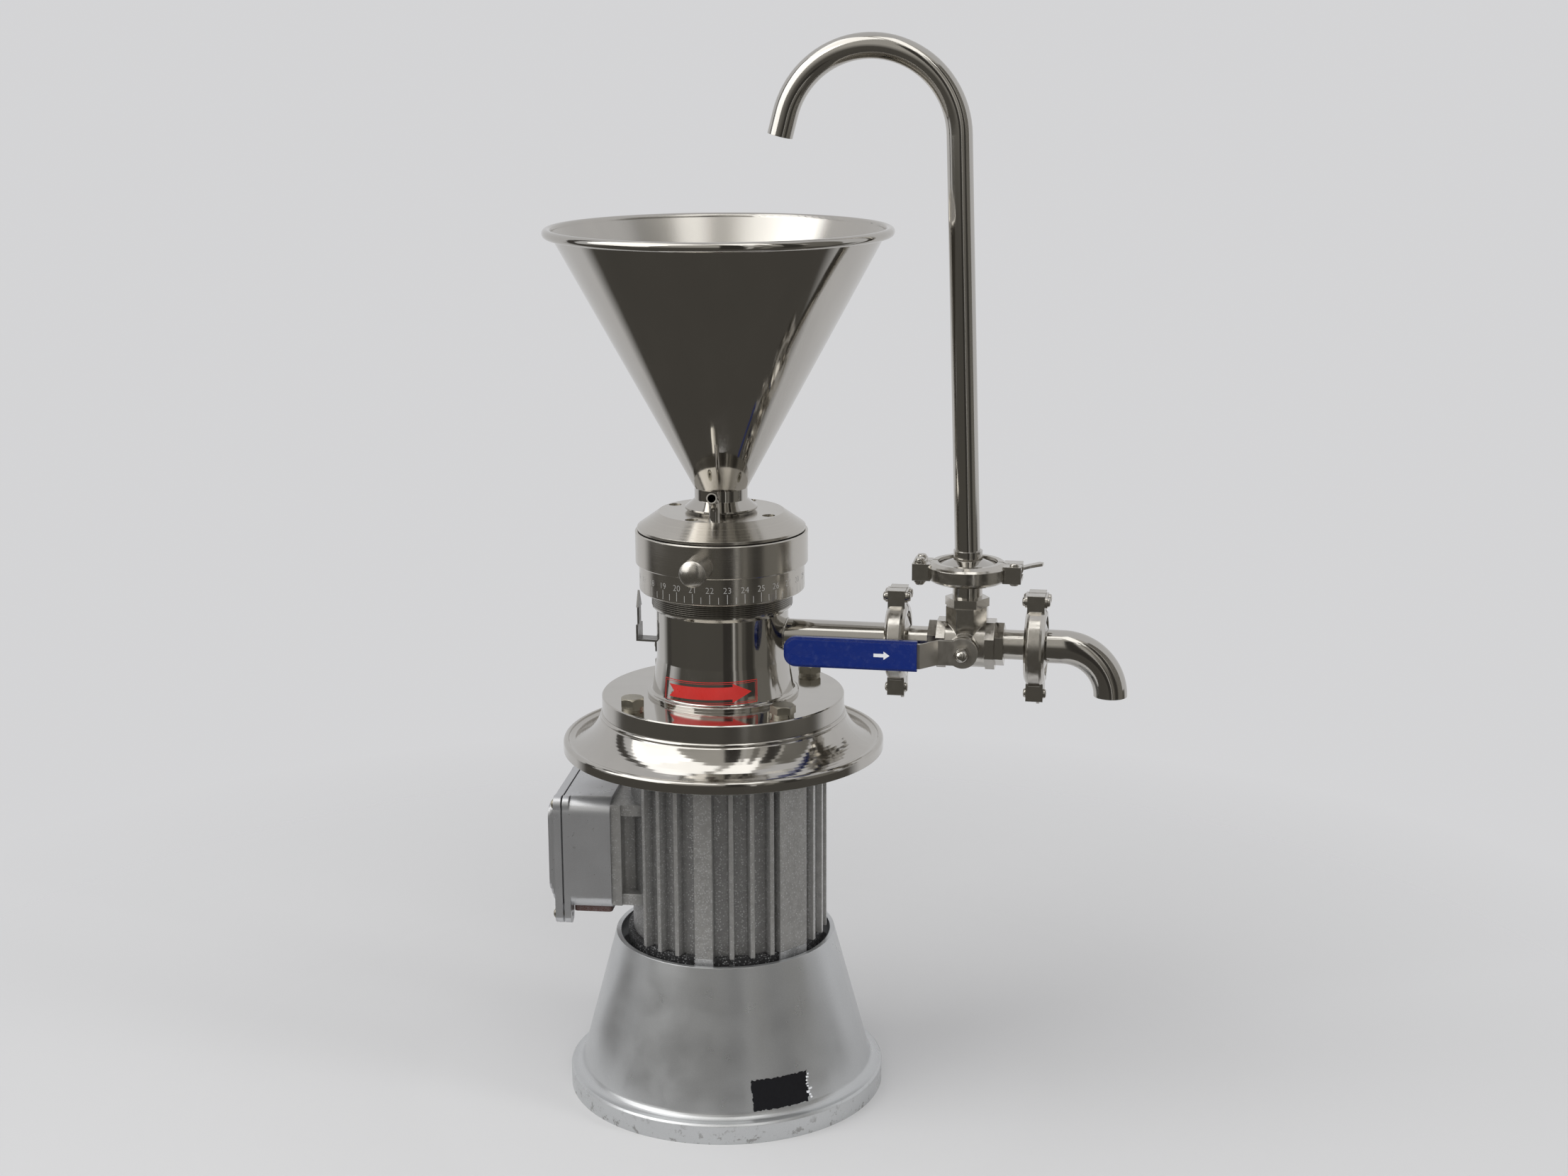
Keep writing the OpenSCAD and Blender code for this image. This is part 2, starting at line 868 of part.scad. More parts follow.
module mill_housing() {
  foot_ring_r = body_foot_r + 4;
  foot_ring_h = 3;
  taper_top = flange_top + 30;
  edge = 0.8;
  color("gainsboro")
    difference() {
      turned(concat(
        [
          [shaft_r + 2, flange_z],
          [flange_r, flange_z],
          [flange_r, flange_top - edge],
          [flange_r - edge, flange_top],
          [foot_ring_r, flange_top]
        ],
        arc([foot_ring_r - 1, flange_top + foot_ring_h - 1], 1, 0, 90, 3),
        arc([body_foot_r + 2, flange_top + foot_ring_h + 2], 2, 270, 180, 4),
        [
          [body_r, taper_top],
          [body_r, thread_z - 3],
          [thread_r, thread_z],
          [thread_r, neck_top - 1],
          [thread_r - 1, neck_top],
          [chamber_r, neck_top],
          [chamber_r, chamber_z],
          [seal_r, chamber_z],
          [seal_r, chamber_z - seal_h],
          [shaft_r + 2, chamber_z - seal_h]
        ]
      ));
      at_flange_bolts()
        translate([0, 0, flange_z - past])
          cylinder(r = bolt_r + fit_gap, h = flange_t + 2 * past);
      translate([chamber_r - 10, 0, outlet_z])
        along_x()
          cylinder(r = pipe_r - pipe_wall, h = body_r - chamber_r + 20);
      at_pointer()
        translate([body_r - pointer_screw_len, 0, pointer_screw_z])
          along_x()
            cylinder(r = pointer_screw_r + fit_gap, h = pointer_screw_len + 5);
    }
}

module housing_bolts() {
  head_flats = 3.4 * bolt_r;
  head_h = 1.28 * bolt_r;
  corner_r = 0.6 * head_flats;
  face_r = 0.47 * head_flats;
  side_h = head_h - 1.6;
  shank = upper_flange_t + tray_t + flange_t + washer_t;
  color("lightgray")
    at_flange_bolts()
      translate([0, 0, flange_z - tray_t - upper_flange_t]) {
        cylinder(r = bolt_r, h = shank);
        translate([0, 0, shank])
          intersection() {
            hexagon(head_flats, head_h);
            turned([[0, 0], [corner_r, 0], [corner_r, side_h], [face_r, head_h], [0, head_h]]);
          }
      }
}

module housing_washers() {
  slit = 0.8;
  slit_lean = 12;
  color("gray")
    at_flange_bolts()
      translate([0, 0, flange_top])
        difference() {
          tube(1.7 * bolt_r, bolt_r + 0.2, washer_t);
          translate([0, -slit / 2, -past])
            rotate([slit_lean, 0, 0])
              cube([3 * bolt_r, slit, 3 * washer_t]);
        }
}

module seal_seat() {
  shaft_gap = 0.4;
  color("dimgray")
    translate([0, 0, chamber_z - seal_h])
      tube(seal_r - fit_gap, shaft_r + shaft_gap, seal_h + seal_face);
}

module seal_ring() {
  bore = shaft_r + fit_gap;
  face_z = chamber_z + seal_face + run_gap;
  face_r = seal_r - 4;
  sleeve_r = seal_r - 2;
  step_z = chamber_z + 10;
  top_z = chamber_z + 24;
  color("silver")
    turned([
      [bore, face_z],
      [face_r, face_z],
      [face_r, step_z],
      [sleeve_r, step_z + sleeve_r - face_r],
      [sleeve_r, top_z],
      [bore, top_z]
    ]);
}

// Weld-neck ferrule about +Z with its sealing face at z = 0.
module ferrule(pipe, inner, length) {
  turned([
    [inner, 0],
    [ferrule_r, 0],
    [ferrule_r, ferrule_edge],
    [pipe, ferrule_edge + (ferrule_r - pipe) * ferrule_slope],
    [pipe, length],
    [inner, length]
  ]);
}

module outlet_pipe() {
  face_x = clamp_x - gasket_t / 2;
  color("gainsboro")
    difference() {
      translate([face_x, 0, outlet_z])
        rotate([0, -90, 0])
          ferrule(pipe_r, pipe_r - pipe_wall, face_x - body_r + 6);
      translate([0, 0, outlet_z - 2 * pipe_r])
        cylinder(r = body_r + fit_gap, h = 4 * pipe_r);
    }
}

module at_pointer() {
  rotate(pointer_turn)
    children();
}

module pointer() {
  back = body_r + fit_gap;
  foot_z = pointer_screw_z - 4;
  color("gray")
    at_pointer()
      difference() {
        intersection() {
          translate([0, pointer_w / 2, 0])
            rotate([90, 0, 0])
              linear_extrude(pointer_w)
                polygon([
                  [back, foot_z],
                  [back + pointer_t, foot_z],
                  [back + pointer_t, pointer_leg_z - pointer_t],
                  [pointer_out + pointer_t, pointer_leg_z - pointer_t],
                  [pointer_out + pointer_t, pointer_tip_z],
                  [pointer_out, pointer_tip_z],
                  [pointer_out, pointer_leg_z],
                  [back, pointer_leg_z]
                ]);
          rotate([90, 0, 90])
            linear_extrude(2 * pointer_out)
              pointer_face(foot_z);
        }
        translate([0, 0, pointer_screw_z])
          along_x()
            cylinder(r = pointer_screw_r + fit_gap, h = 2 * body_r);
      }
}

// Outline of the pointer strip as seen from outside: foot, wide arm, narrow arm and arrow head.
module pointer_face(foot_z) {
  arrow_z = pointer_tip_z - pointer_head_len;
  arm_rise = 11.3;
  arm_z = pointer_leg_z + arm_rise;
  tip_half = 0.2;
  polygon([
    [-pointer_w / 2, foot_z],
    [pointer_w / 2, foot_z],
    [pointer_w / 2, arm_z],
    [pointer_arm_w / 2, arm_z],
    [pointer_arm_w / 2, arrow_z],
    [pointer_head_w / 2, arrow_z],
    [tip_half, pointer_tip_z],
    [-tip_half, pointer_tip_z],
    [-pointer_head_w / 2, arrow_z],
    [-pointer_arm_w / 2, arrow_z],
    [-pointer_arm_w / 2, arm_z],
    [-pointer_w / 2, arm_z]
  ]);
}

module pointer_screw() {
  head_r = 3.2;
  head_h = 2.2;
  side_h = 0.6;
  dome = [head_r - 1, head_h - 0.4];
  shank = fit_gap + pointer_t + pointer_screw_len - past;
  color("lightgray")
    at_pointer()
      translate([body_r - pointer_screw_len + past, 0, pointer_screw_z])
        along_x() {
          cylinder(r = pointer_screw_r, h = shank);
          translate([0, 0, shank])
            turned([[0, 0], [head_r, 0], [head_r, side_h], dome, [0, head_h]]);
        }
}

// Stands children on the first line clamp: local +Z along the pipe, +X up, +Y to the front.
module at_line_clamp(x) {
  translate([x, 0, outlet_z])
    rotate([180, -90, 0])
      children();
}

// Stands children on the return clamp: local +Z up the pipe, hinge towards the mill, +Y to the front.
module at_return_clamp() {
  translate([valve_x, 0, return_z])
    rotate(180)
      children();
}

// Section of a clamp ring's half above and below the ferrules.
module clamp_section() {
  shoulder_r = ferrule_r + 1;
  edge_r = ring_r - 1.5;
  edge_half = crest_w / 2 + 0.6;
  crest_half = crest_w / 2 - 1;
  polygon([
    [groove_r, -groove_half],
    [lip_in_r, -lip_half],
    [lip_in_r, -ring_w / 2],
    [shoulder_r, -ring_w / 2],
    [edge_r, -edge_half],
    [ring_r, -crest_half],
    [ring_r, crest_half],
    [edge_r, edge_half],
    [shoulder_r, ring_w / 2],
    [lip_in_r, ring_w / 2],
    [lip_in_r, lip_half],
    [groove_r, groove_half]
  ]);
}

// Outline of an ear from the ring to a pin at +X, beside the split line.
module ear_outline() {
  root_x = groove_r + 1.6;
  height = ear_y + ear_r_out - split;
  translate([root_x, split])
    square([ear_x - root_x, height]);
  translate([ear_x, ear_y])
    circle(ear_r_out);
  translate([ear_x - past, split])
    square([ear_r_out + past, height]);
}

// Half of a clamp ring on the +Y side, with its hinge ear at +X and its bolt ear at -X.
// A holder keeps the swing bolt's pivot; the other half has an open slot for the bolt.
module clamp_half(holder) {
  turn = asin(split / lip_in_r);
  slot_h = 2 * swing_slot;
  slot_end = ear_y + (holder ? ear_r_out - 1.6 : 3 * ear_r_out);
  difference() {
    union() {
      rotate(turn)
        rotate_extrude(angle = 180 - 2 * turn)
          clamp_section();
      translate([0, 0, -ear_w / 2])
        linear_extrude(ear_w)
          ear_outline();
      translate([0, 0, -ear_w / 2])
        linear_extrude(ear_w)
          mirror([1, 0, 0])
            ear_outline();
    }
    translate([ear_x, ear_y, -ear_w])
      cylinder(r = pin_r + fit_gap, h = 2 * ear_w);
    if (holder)
      translate([-ear_x, ear_y, -ear_w])
        cylinder(r = pin_r + fit_gap, h = 2 * ear_w);
    translate([-ear_x - 2 * ear_r_out, -past, -slot_h / 2])
      cube([2 * ear_r_out + swing_slot, slot_end + past, slot_h]);
  }
}

// Rivet along +Z through a clamp's ears or links, with a domed head at each end.
module rivet(length) {
  head_r = pin_r + 1.1;
  side_h = 0.6;
  round_r = 1.6;
  translate([0, 0, -length / 2])
    cylinder(r = pin_r, h = length);
  for (side = [0, 1])
    mirror([0, 0, side])
      translate([0, 0, length / 2])
        turned(concat(
          [[0, 0], [head_r, 0]],
          arc([head_r - round_r, side_h], round_r, 0, 60, 3),
          [[0, rivet_h]]
        ));
}

// Link plates, hinge rivets, pivot rivet and swing bolt of one clamp.
module clamp_hardware() {
  link_r = pin_r + 2.1;
  link_z = ear_w / 2 + fit_gap;
  eye_r = ear_r_out - 1.8;
  for (side = [0, 1])
    mirror([0, 0, side])
      translate([0, 0, link_z])
        linear_extrude(link_t)
          difference() {
            union() {
              translate([ear_x - link_r, -ear_y])
                square([2 * link_r, 2 * ear_y]);
              for (y = [-1, 1])
                translate([ear_x, y * ear_y])
                  circle(link_r);
            }
            for (y = [-1, 1])
              translate([ear_x, y * ear_y])
                circle(pin_r + fit_gap);
          }
  for (y = [-1, 1])
    translate([ear_x, y * ear_y, 0])
      rivet(ear_w + 2 * link_t + 4 * fit_gap);
  translate([-ear_x, ear_y, 0])
    rivet(ear_w + 2 * fit_gap);
  translate([-ear_x, ear_y, 0])
    difference() {
      union() {
        translate([0, 0, -swing_slot + fit_gap])
          cylinder(r = eye_r, h = 2 * (swing_slot - fit_gap));
        rotate([90, 0, 0])
          cylinder(r = swing_r, h = ear_y + nut_y + nut_h + 2);
      }
      translate([0, 0, -ear_w])
        cylinder(r = pin_r + fit_gap, h = 2 * ear_w);
    }
}

// Wing nut on the swing bolt, behind the clamp's rear ear, with wings that lean clear of the ring.
module wing_nut() {
  thread_gap = 0.1;
  skirt_h = 1.5;
  top_r = nut_r - 0.8;
  root_x = nut_r - 2.5;
  tip_z = nut_h + 14.5;
  translate([-ear_x, -nut_y, 0])
    rotate([90, 0, 0])
      difference() {
        union() {
          turned([[0, 0], [nut_r, 0], [nut_r, skirt_h], [top_r, nut_h], [0, nut_h]]);
          for (side = [0, 180])
            rotate(side)
              translate([0, wing_t / 2, 0])
                rotate([90, 0, 0])
                  linear_extrude(wing_t)
                    polygon([
                      [root_x, skirt_h],
                      [nut_r - 0.2, skirt_h],
                      [0.55 * wing_span, nut_h + 1],
                      [wing_span - 0.5, tip_z - 5.5],
                      [wing_span, tip_z - 1.5],
                      [wing_span - 3, tip_z],
                      [0.45 * wing_span, nut_h + 6],
                      [root_x, nut_h - 1]
                    ]);
        }
        translate([0, 0, -past])
          cylinder(r = swing_r + thread_gap, h = 2 * tip_z);
      }
}

module inlet_clamp_front() {
  color("lightgray")
    at_line_clamp(clamp_x)
      clamp_half(true);
}

module inlet_clamp_rear() {
  color("lightgray")
    at_line_clamp(clamp_x)
      mirror([0, 1, 0])
        clamp_half(false);
}

module inlet_clamp_hardware() {
  color("gainsboro")
    at_line_clamp(clamp_x)
      clamp_hardware();
}

module inlet_wing_nut() {
  color("lightgray")
    at_line_clamp(clamp_x)
      wing_nut();
}

module discharge_clamp_front() {
  color("lightgray")
    at_line_clamp(exit_x)
      clamp_half(true);
}

module discharge_clamp_rear() {
  color("lightgray")
    at_line_clamp(exit_x)
      mirror([0, 1, 0])
        clamp_half(false);
}

module discharge_clamp_hardware() {
  color("gainsboro")
    at_line_clamp(exit_x)
      clamp_hardware();
}

module discharge_wing_nut() {
  color("lightgray")
    at_line_clamp(exit_x)
      wing_nut();
}

module return_clamp_front() {
  color("lightgray")
    at_return_clamp()
      clamp_half(true);
}

module return_clamp_rear() {
  color("lightgray")
    at_return_clamp()
      mirror([0, 1, 0])
        clamp_half(false);
}

module return_clamp_hardware() {
  color("gainsboro")
    at_return_clamp()
      clamp_hardware();
}

module return_wing_nut() {
  color("lightgray")
    at_return_clamp()
      wing_nut();
}

module clamp_gaskets() {
  thick = gasket_t - 2 * fit_gap;
  inner = end_bore_r + 0.5;
  outer = ferrule_r - 0.4;
  color("white") {
    for (x = [clamp_x, exit_x])
      translate([x - thick / 2, 0, outlet_z])
        along_x()
          tube(outer, inner, thick);
    translate([valve_x, 0, return_z - gasket_t / 2 + fit_gap])
      tube(outer, inner, gasket_t - run_gap);
  }
}

module at_valve() {
  translate([valve_x, 0, outlet_z])
    children();
}

module valve_body() {
  barrel_out = ball_r + valve_wall;
  collar_len = 7;
  collar_flats = 2 * barrel_out;
  branch_flats = 2 * spigot_r + 3;
  boss_r = 11;
  ball_gap = 0.4;
  half_step = 360 / 16;
  color("lightgray")
    at_valve()
      difference() {
        union() {
          translate([-valve_half, 0, 0])
            along_x()
              cylinder(r = barrel_out, h = 2 * valve_half);
          for (x = [-valve_half, valve_half - collar_len])
            translate([x, 0, 0])
              along_x()
                rotate(half_step)
                  cylinder(r = collar_flats / 2 / cos(half_step), h = collar_len, $fn = 8);
          rotate(half_step)
            cylinder(r = branch_flats / 2 / cos(half_step), h = neck_out, $fn = 8);
          towards_front()
            cylinder(r = boss_r, h = boss_out);
        }
        sphere(ball_r + ball_gap);
        translate([-valve_half - past, 0, 0])
          along_x()
            cylinder(r = spigot_r + fit_gap, h = 2 * (valve_half + past));
        cylinder(r = spigot_r + fit_gap, h = neck_out + past);
        towards_front()
          cylinder(r = stem_r + run_gap, h = boss_out + past);
        translate([0, -boss_out, 0])
          rotate([-90, 0, 0])
            translate([0, 0, -past])
              cylinder(r = gland_r + fit_gap, h = gland_deep + past);
      }
}

// Screwed valve end about +Z with its hexagon shoulder at z = 0 and a ferrule at its far end.
module valve_end(reach, spigot) {
  difference() {
    union() {
      translate([0, 0, -spigot])
        cylinder(r = spigot_r, h = spigot + past);
      hexagon(end_flats, end_hex);
      translate([0, 0, reach])
        mirror([0, 0, 1])
          ferrule(stub_r, end_bore_r, reach - end_hex + past);
    }
    translate([0, 0, -spigot - past])
      cylinder(r = end_bore_r, h = spigot + reach + 2 * past);
  }
}

module valve_inlet_end() {
  color("gainsboro")
    at_valve()
      translate([-valve_half, 0, 0])
        rotate([0, -90, 0])
          valve_end(line_end_reach, valve_half - seat_out - fit_gap);
}

module valve_outlet_end() {
  color("gainsboro")
    at_valve()
      translate([valve_half, 0, 0])
        along_x()
          valve_end(line_end_reach, valve_half - seat_out - fit_gap);
}

module valve_return_end() {
  color("gainsboro")
    at_valve()
      translate([0, 0, neck_out])
        valve_end(return_end_reach, neck_out - seat_out - fit_gap);
}

module valve_seats() {
  apart = 0.2;
  out_r = spigot_r - fit_gap;
  color("white")
    at_valve()
      for (turn = [-90, 0, 90])
        rotate([0, turn, 0])
          difference() {
            turned([
              [end_bore_r, end_bore_r + apart],
              [out_r, out_r + apart],
              [out_r, seat_out],
              [end_bore_r, seat_out]
            ]);
            sphere(ball_r + run_gap);
          }
}

module valve_gland_nut() {
  flats = 19;
  stem_gap = 0.1;
  color("lightgray")
    at_valve()
      translate([0, -boss_out + gland_deep - fit_gap, 0])
        towards_front()
          difference() {
            union() {
              cylinder(r = gland_r, h = gland_deep);
              translate([0, 0, gland_deep])
                hexagon(flats, gland_out - boss_out);
            }
            translate([0, 0, -past])
              cylinder(r = stem_r + stem_gap, h = gland_deep + gland_out);
          }
}

module valve_ball() {
  color("gainsboro")
    at_valve()
      difference() {
        sphere(ball_r);
        translate([-ball_r - past, 0, 0])
          along_x()
            cylinder(r = port_r, h = 2 * (ball_r + past));
        mirror([0, 0, 1])
          cylinder(r = port_r, h = ball_r + past);
        translate([-ball_r, -ball_r - past, -tang_w / 2])
          cube([2 * ball_r, tang_deep + past, tang_w]);
      }
}

module valve_stem() {
  tang_t = tang_w - 2 * fit_gap;
  tang_len = tang_deep + 2;
  shoulder = ball_r + fit_gap + 0.5;
  thread_len = lever_t + 8;
  color("lightgray")
    at_valve() {
      translate([0, -ball_r + tang_deep - fit_gap, 0])
        towards_front()
          intersection() {
            cylinder(r = stem_r, h = tang_len);
            translate([-stem_r, -tang_t / 2, 0])
              cube([2 * stem_r, tang_t, tang_len]);
          }
      translate([0, -shoulder, 0])
        towards_front()
          cylinder(r = stem_r, h = hub_out - shoulder);
      translate([0, -hub_out + past, 0])
        towards_front() {
          translate([-square_w / 2, -square_w / 2, 0])
            cube([square_w, square_w, lever_t + past]);
          cylinder(r = stud_r, h = thread_len);
        }
    }
}

// Outline of the lever's bent strip in plan, from the stem towards -X.
module lever_bend() {
  bend_x = 17;
  flat_x = grip_start - 3;
  far_x = grip_start + grip_len - lever_short;
  hub_end = 12;
  step_y = -hub_out - lever_step;
  polygon([
    [hub_end, -hub_out],
    [-bend_x, -hub_out],
    [-flat_x, step_y],
    [-far_x, step_y],
    [-far_x, step_y - lever_t],
    [-flat_x - 1, step_y - lever_t],
    [-bend_x - 1, -hub_out - lever_t],
    [hub_end, -hub_out - lever_t]
  ]);
}

module valve_lever() {
  hub_r = 11.5;
  square_hole = square_w + 2 * fit_gap;
  far_x = grip_start + grip_len;
  color("lightgray")
    at_valve()
      difference() {
        intersection() {
          translate([0, 0, -grip_w])
            linear_extrude(2 * grip_w)
              lever_bend();
          rotate([90, 0, 0])
            linear_extrude(hub_out + lever_step + 2 * lever_t) {
              circle(hub_r);
              translate([-far_x, -lever_w / 2])
                square([far_x, lever_w]);
            }
        }
        translate([-square_hole / 2, -hub_out - 2 * lever_t, -square_hole / 2])
          cube([square_hole, 3 * lever_t, square_hole]);
      }
}

// Outline of the grip: square near the stem, round at the far end.
module grip_outline(w, start, end, round_r) {
  translate([-end + round_r, -w / 2])
    square([end - start - round_r, w]);
  for (y = [-1, 1])
    translate([-end + round_r, y * (w / 2 - round_r)])
      circle(round_r);
  translate([-end, -w / 2 + round_r])
    square([round_r, w - 2 * round_r]);
}

module lever_grip() {
  end = grip_start + grip_len;
  mid_y = -hub_out - lever_step - lever_t / 2;
  edge = 1.5;
  end_r = 9;
  color("navy")
    at_valve()
      difference() {
        union() {
          translate([0, mid_y + grip_t / 2 - edge, 0])
            towards_front()
              linear_extrude(grip_t - 2 * edge)
                grip_outline(grip_w, grip_start, end, end_r);
          translate([0, mid_y + grip_t / 2, 0])
            towards_front()
              linear_extrude(grip_t)
                grip_outline(grip_w - 2 * edge, grip_start, end - edge, end_r - 1);
        }
        translate([-end + lever_short - fit_gap, mid_y - lever_t / 2 - fit_gap, -lever_w / 2 - fit_gap])
          cube([grip_len, lever_t + 2 * fit_gap, lever_w + 2 * fit_gap]);
      }
}

module lever_cap_nut() {
  flats = 11;
  hex_h = 5;
  dome_r = 4.9;
  dome_z = hex_h + 1.4;
  deep = 8.6;
  color("gainsboro")
    at_valve()
      translate([0, -hub_out - lever_t - fit_gap, 0])
        towards_front()
          difference() {
            union() {
              hexagon(flats, hex_h);
              translate([0, 0, hex_h])
                cylinder(r = dome_r, h = dome_z - hex_h);
              translate([0, 0, dome_z])
                sphere(dome_r);
            }
            translate([0, 0, -past])
              cylinder(r = stud_r + fit_gap, h = deep);
          }
}

module discharge_elbow() {
  face_x = exit_x + gasket_t / 2;
  inner = pipe_r - pipe_wall;
  color("gainsboro")
    translate([face_x, 0, outlet_z]) {
      along_x()
        ferrule(pipe_r, inner, elbow_run);
      translate([elbow_run, 0, 0])
        rotate([0, 90, 0])
          mirror([1, 0, 0])
            tube_bend(pipe_r, inner, elbow_bend_r, 90);
    }
}

// Tube bend in the XZ plane that starts upwards at the origin and turns towards -X.
module tube_bend(r, inner, bend_r, angle) {
  translate([-bend_r, 0, 0])
    rotate([90, 0, 0])
      rotate_extrude(angle = angle)
        translate([bend_r, 0])
          difference() {
            circle(r);
            circle(inner);
          }
}

// Carries children to the end of a tube bend.
module after_bend(bend_r, angle) {
  translate([-bend_r, 0, 0])
    rotate([0, -angle, 0])
      translate([bend_r, 0, 0])
        children();
}

module return_pipe() {
  face_z = return_z + gasket_t / 2 + fit_gap;
  hub_len = 15;
  plunge = hub_len - 6;
  hub_r = return_r + 1.4;
  hub_bore_r = return_r - 0.6;
  inner = return_r - pipe_wall;
  color("gainsboro")
    translate([valve_x, 0, face_z]) {
      ferrule(hub_r, hub_bore_r, hub_len);
      rotate([0, -return_lean, 0]) {
        translate([0, 0, plunge])
          tube(return_r, inner, riser_len - plunge);
        translate([0, 0, riser_len]) {
          tube_bend(return_r, inner, arch_r, arch_turn);
          after_bend(arch_r, arch_turn)
            tube(return_r, inner, spout_len);
        }
      }
    }
}

module main_shaft() {
  low_z = fan_z - 3;
  top_z = grind_top + stud_len;
  edge = 1;
  cone_h = 4;
  low_step = ledge_z + bearing_floor + low_bearing_w;
  rotor_step = motor_top - 2;
  top_step = motor_top + top_bearing_w - 0.5;
  color("lightgray")
    turned([
      [0, low_z],
      [fan_seat_r - edge, low_z],
      [fan_seat_r, low_z + edge],
      [fan_seat_r, fan_z + fan_hub_h],
      [low_seat_r, fan_z + fan_hub_h],
      [low_seat_r, low_step],
      [rotor_seat_r, low_step + cone_h],
      [rotor_seat_r, rotor_step],
      [top_seat_r, rotor_step],
      [top_seat_r, top_step],
      [shaft_r, top_step],
      [shaft_r, grind_z],
      [grind_seat_r, grind_z],
      [grind_seat_r, grind_top],
      [nut_thread_r, grind_top],
      [nut_thread_r, top_z - edge],
      [nut_thread_r - edge, top_z],
      [0, top_z]
    ]);
}

module motor_rotor() {
  ring_h = 8;
  r = core_in_r - air_gap;
  ring_in_r = r - 14;
  ring_out_r = r - 2;
  low_z = core_mid - core_len / 2;
  top_z = core_mid + core_len / 2;
  color("gray")
    turned([
      [rotor_seat_r + fit_gap, low_z],
      [ring_in_r, low_z],
      [ring_in_r, low_z - ring_h],
      [ring_out_r, low_z - ring_h],
      [ring_out_r, low_z],
      [r, low_z],
      [r, top_z],
      [ring_out_r, top_z],
      [ring_out_r, top_z + ring_h],
      [ring_in_r, top_z + ring_h],
      [ring_in_r, top_z],
      [rotor_seat_r + fit_gap, top_z]
    ]);
}

module cooling_fan() {
  blades = 8;
  hub_r = 20;
  disc_t = 3;
  disc_r = fan_r - 12;
  blade_t = 3;
  blade_x = hub_r - 3;
  color("dimgray")
    translate([0, 0, fan_z])
      difference() {
        union() {
          cylinder(r = hub_r, h = fan_hub_h);
          translate([0, 0, fan_hub_h - disc_t])
            cylinder(r = disc_r, h = disc_t);
          for (k = [0:blades - 1])
            rotate(k * 360 / blades)
              translate([blade_x, -blade_t / 2, 0])
                cube([fan_r - blade_x, blade_t, fan_hub_h]);
        }
        translate([0, 0, -past])
          cylinder(r = fan_seat_r + fit_gap, h = fan_hub_h + 2 * past);
      }
}

module grinding_rotor() {
  slot_w = 3;
  slot_deep = 2.4;
  slot_lean = 16;
  color("silver")
    difference() {
      turned([
        [grind_seat_r + fit_gap, grind_z],
        [grind_low_r, grind_z],
        [grind_top_r, grind_top],
        [grind_seat_r + fit_gap, grind_top]
      ]);
      for (k = [0:rotor_teeth - 1])
        rotate(k * 360 / rotor_teeth)
          translate([(grind_low_r + grind_top_r) / 2, 0, grind_z + grind_h / 2])
            rotate([slot_lean, -atan(grind_slope), 0])
              translate([-slot_deep, -slot_w / 2, -grind_h])
                cube([2 * slot_deep, slot_w, 2 * grind_h]);
    }
}

module rotor_cap_nut() {
  flats = 22;
  hex_h = 7;
  cap_r = 10.5;
  dome_z = hex_h + 1;
  dome_r = 8;
  color("silver")
    translate([0, 0, grind_top + fit_gap])
      difference() {
        union() {
          hexagon(flats, hex_h);
          turned(concat(
            [[0, 0], [cap_r, 0]],
            arc([cap_r - dome_r, dome_z], dome_r, 0, 90),
            [[0, dome_z + dome_r]]
          ));
        }
        translate([0, 0, -past])
          cylinder(r = nut_thread_r + fit_gap, h = stud_len + 2 * past);
      }
}

module grinding_stator() {
  slot_w = 3.2;
  slot_deep = 2.4;
  slot_lean = -16;
  teeth = rotor_teeth + 2;
  slot_cut = 1.42;
  wall_r = chamber_r - 0.4;
  flange_out_r = ring_bore_r - 0.5;
  low_r = grind_at(stator_low) + grind_gap;
  top_r = grind_at(grind_top) + grind_gap;
  cut_h = grind_top - stator_low;
  flange_low = stator_flange_top - stator_flange_t;
  throat_h = 3;
  color("gray")
    difference() {
      turned([
        [low_r, stator_low],
        [wall_r, stator_low],
        [wall_r, flange_low],
        [flange_out_r, flange_low],
        [flange_out_r, stator_flange_top],
        [stator_neck_r, stator_flange_top],
        [stator_neck_r, cap_z],
        [throat_r, cap_z],
        [throat_r, cap_z - throat_h],
        [top_r, cap_z - 2 * throat_h],
        [top_r, grind_top]
      ]);
      for (k = [0:teeth - 1])
        rotate(k * 360 / teeth)
          translate([(low_r + top_r) / 2, 0, stator_low + cut_h / 2])
            rotate([slot_lean, -atan(grind_slope), 0])
              translate([-slot_deep, -slot_w / 2, -cut_h])
                cube([2 * slot_deep, slot_w, slot_cut * cut_h]);
      at_cover_screws()
        translate([0, 0, cap_z - screw_deep - 1])
          cylinder(r = screw_r + fit_gap, h = screw_deep + 1 + past);
      at_cooling_pipes()
        translate([0, 0, cap_z - cool_deep])
          cylinder(r = cool_r + fit_gap, h = cool_deep + past);
    }
}

module top_cover() {
  sunk_z = cap_top - screw_head_h - screw_sunk;
  head_gap = 0.3;
  color("lightgray")
    difference() {
      turned([
        [throat_r, cap_z],
        [cover_r, cap_z],
        [cover_r, cap_z + cover_edge],
        [cover_top_r, cap_top],
        [neck_r + fit_gap, cap_top],
        [neck_r + fit_gap, seat_z],
        [throat_r, seat_z]
      ]);
      at_cover_screws() {
        translate([0, 0, cap_z - past])
          cylinder(r = screw_r + fit_gap, h = cover_t + 2 * past);
        translate([0, 0, sunk_z])
          cylinder(r = screw_head_r + head_gap, h = screw_head_h + 2 * screw_sunk);
      }
      at_cooling_pipes()
        translate([0, 0, cap_z - past])
          cylinder(r = cool_r + fit_gap, h = cover_t + 2 * past);
    }
}

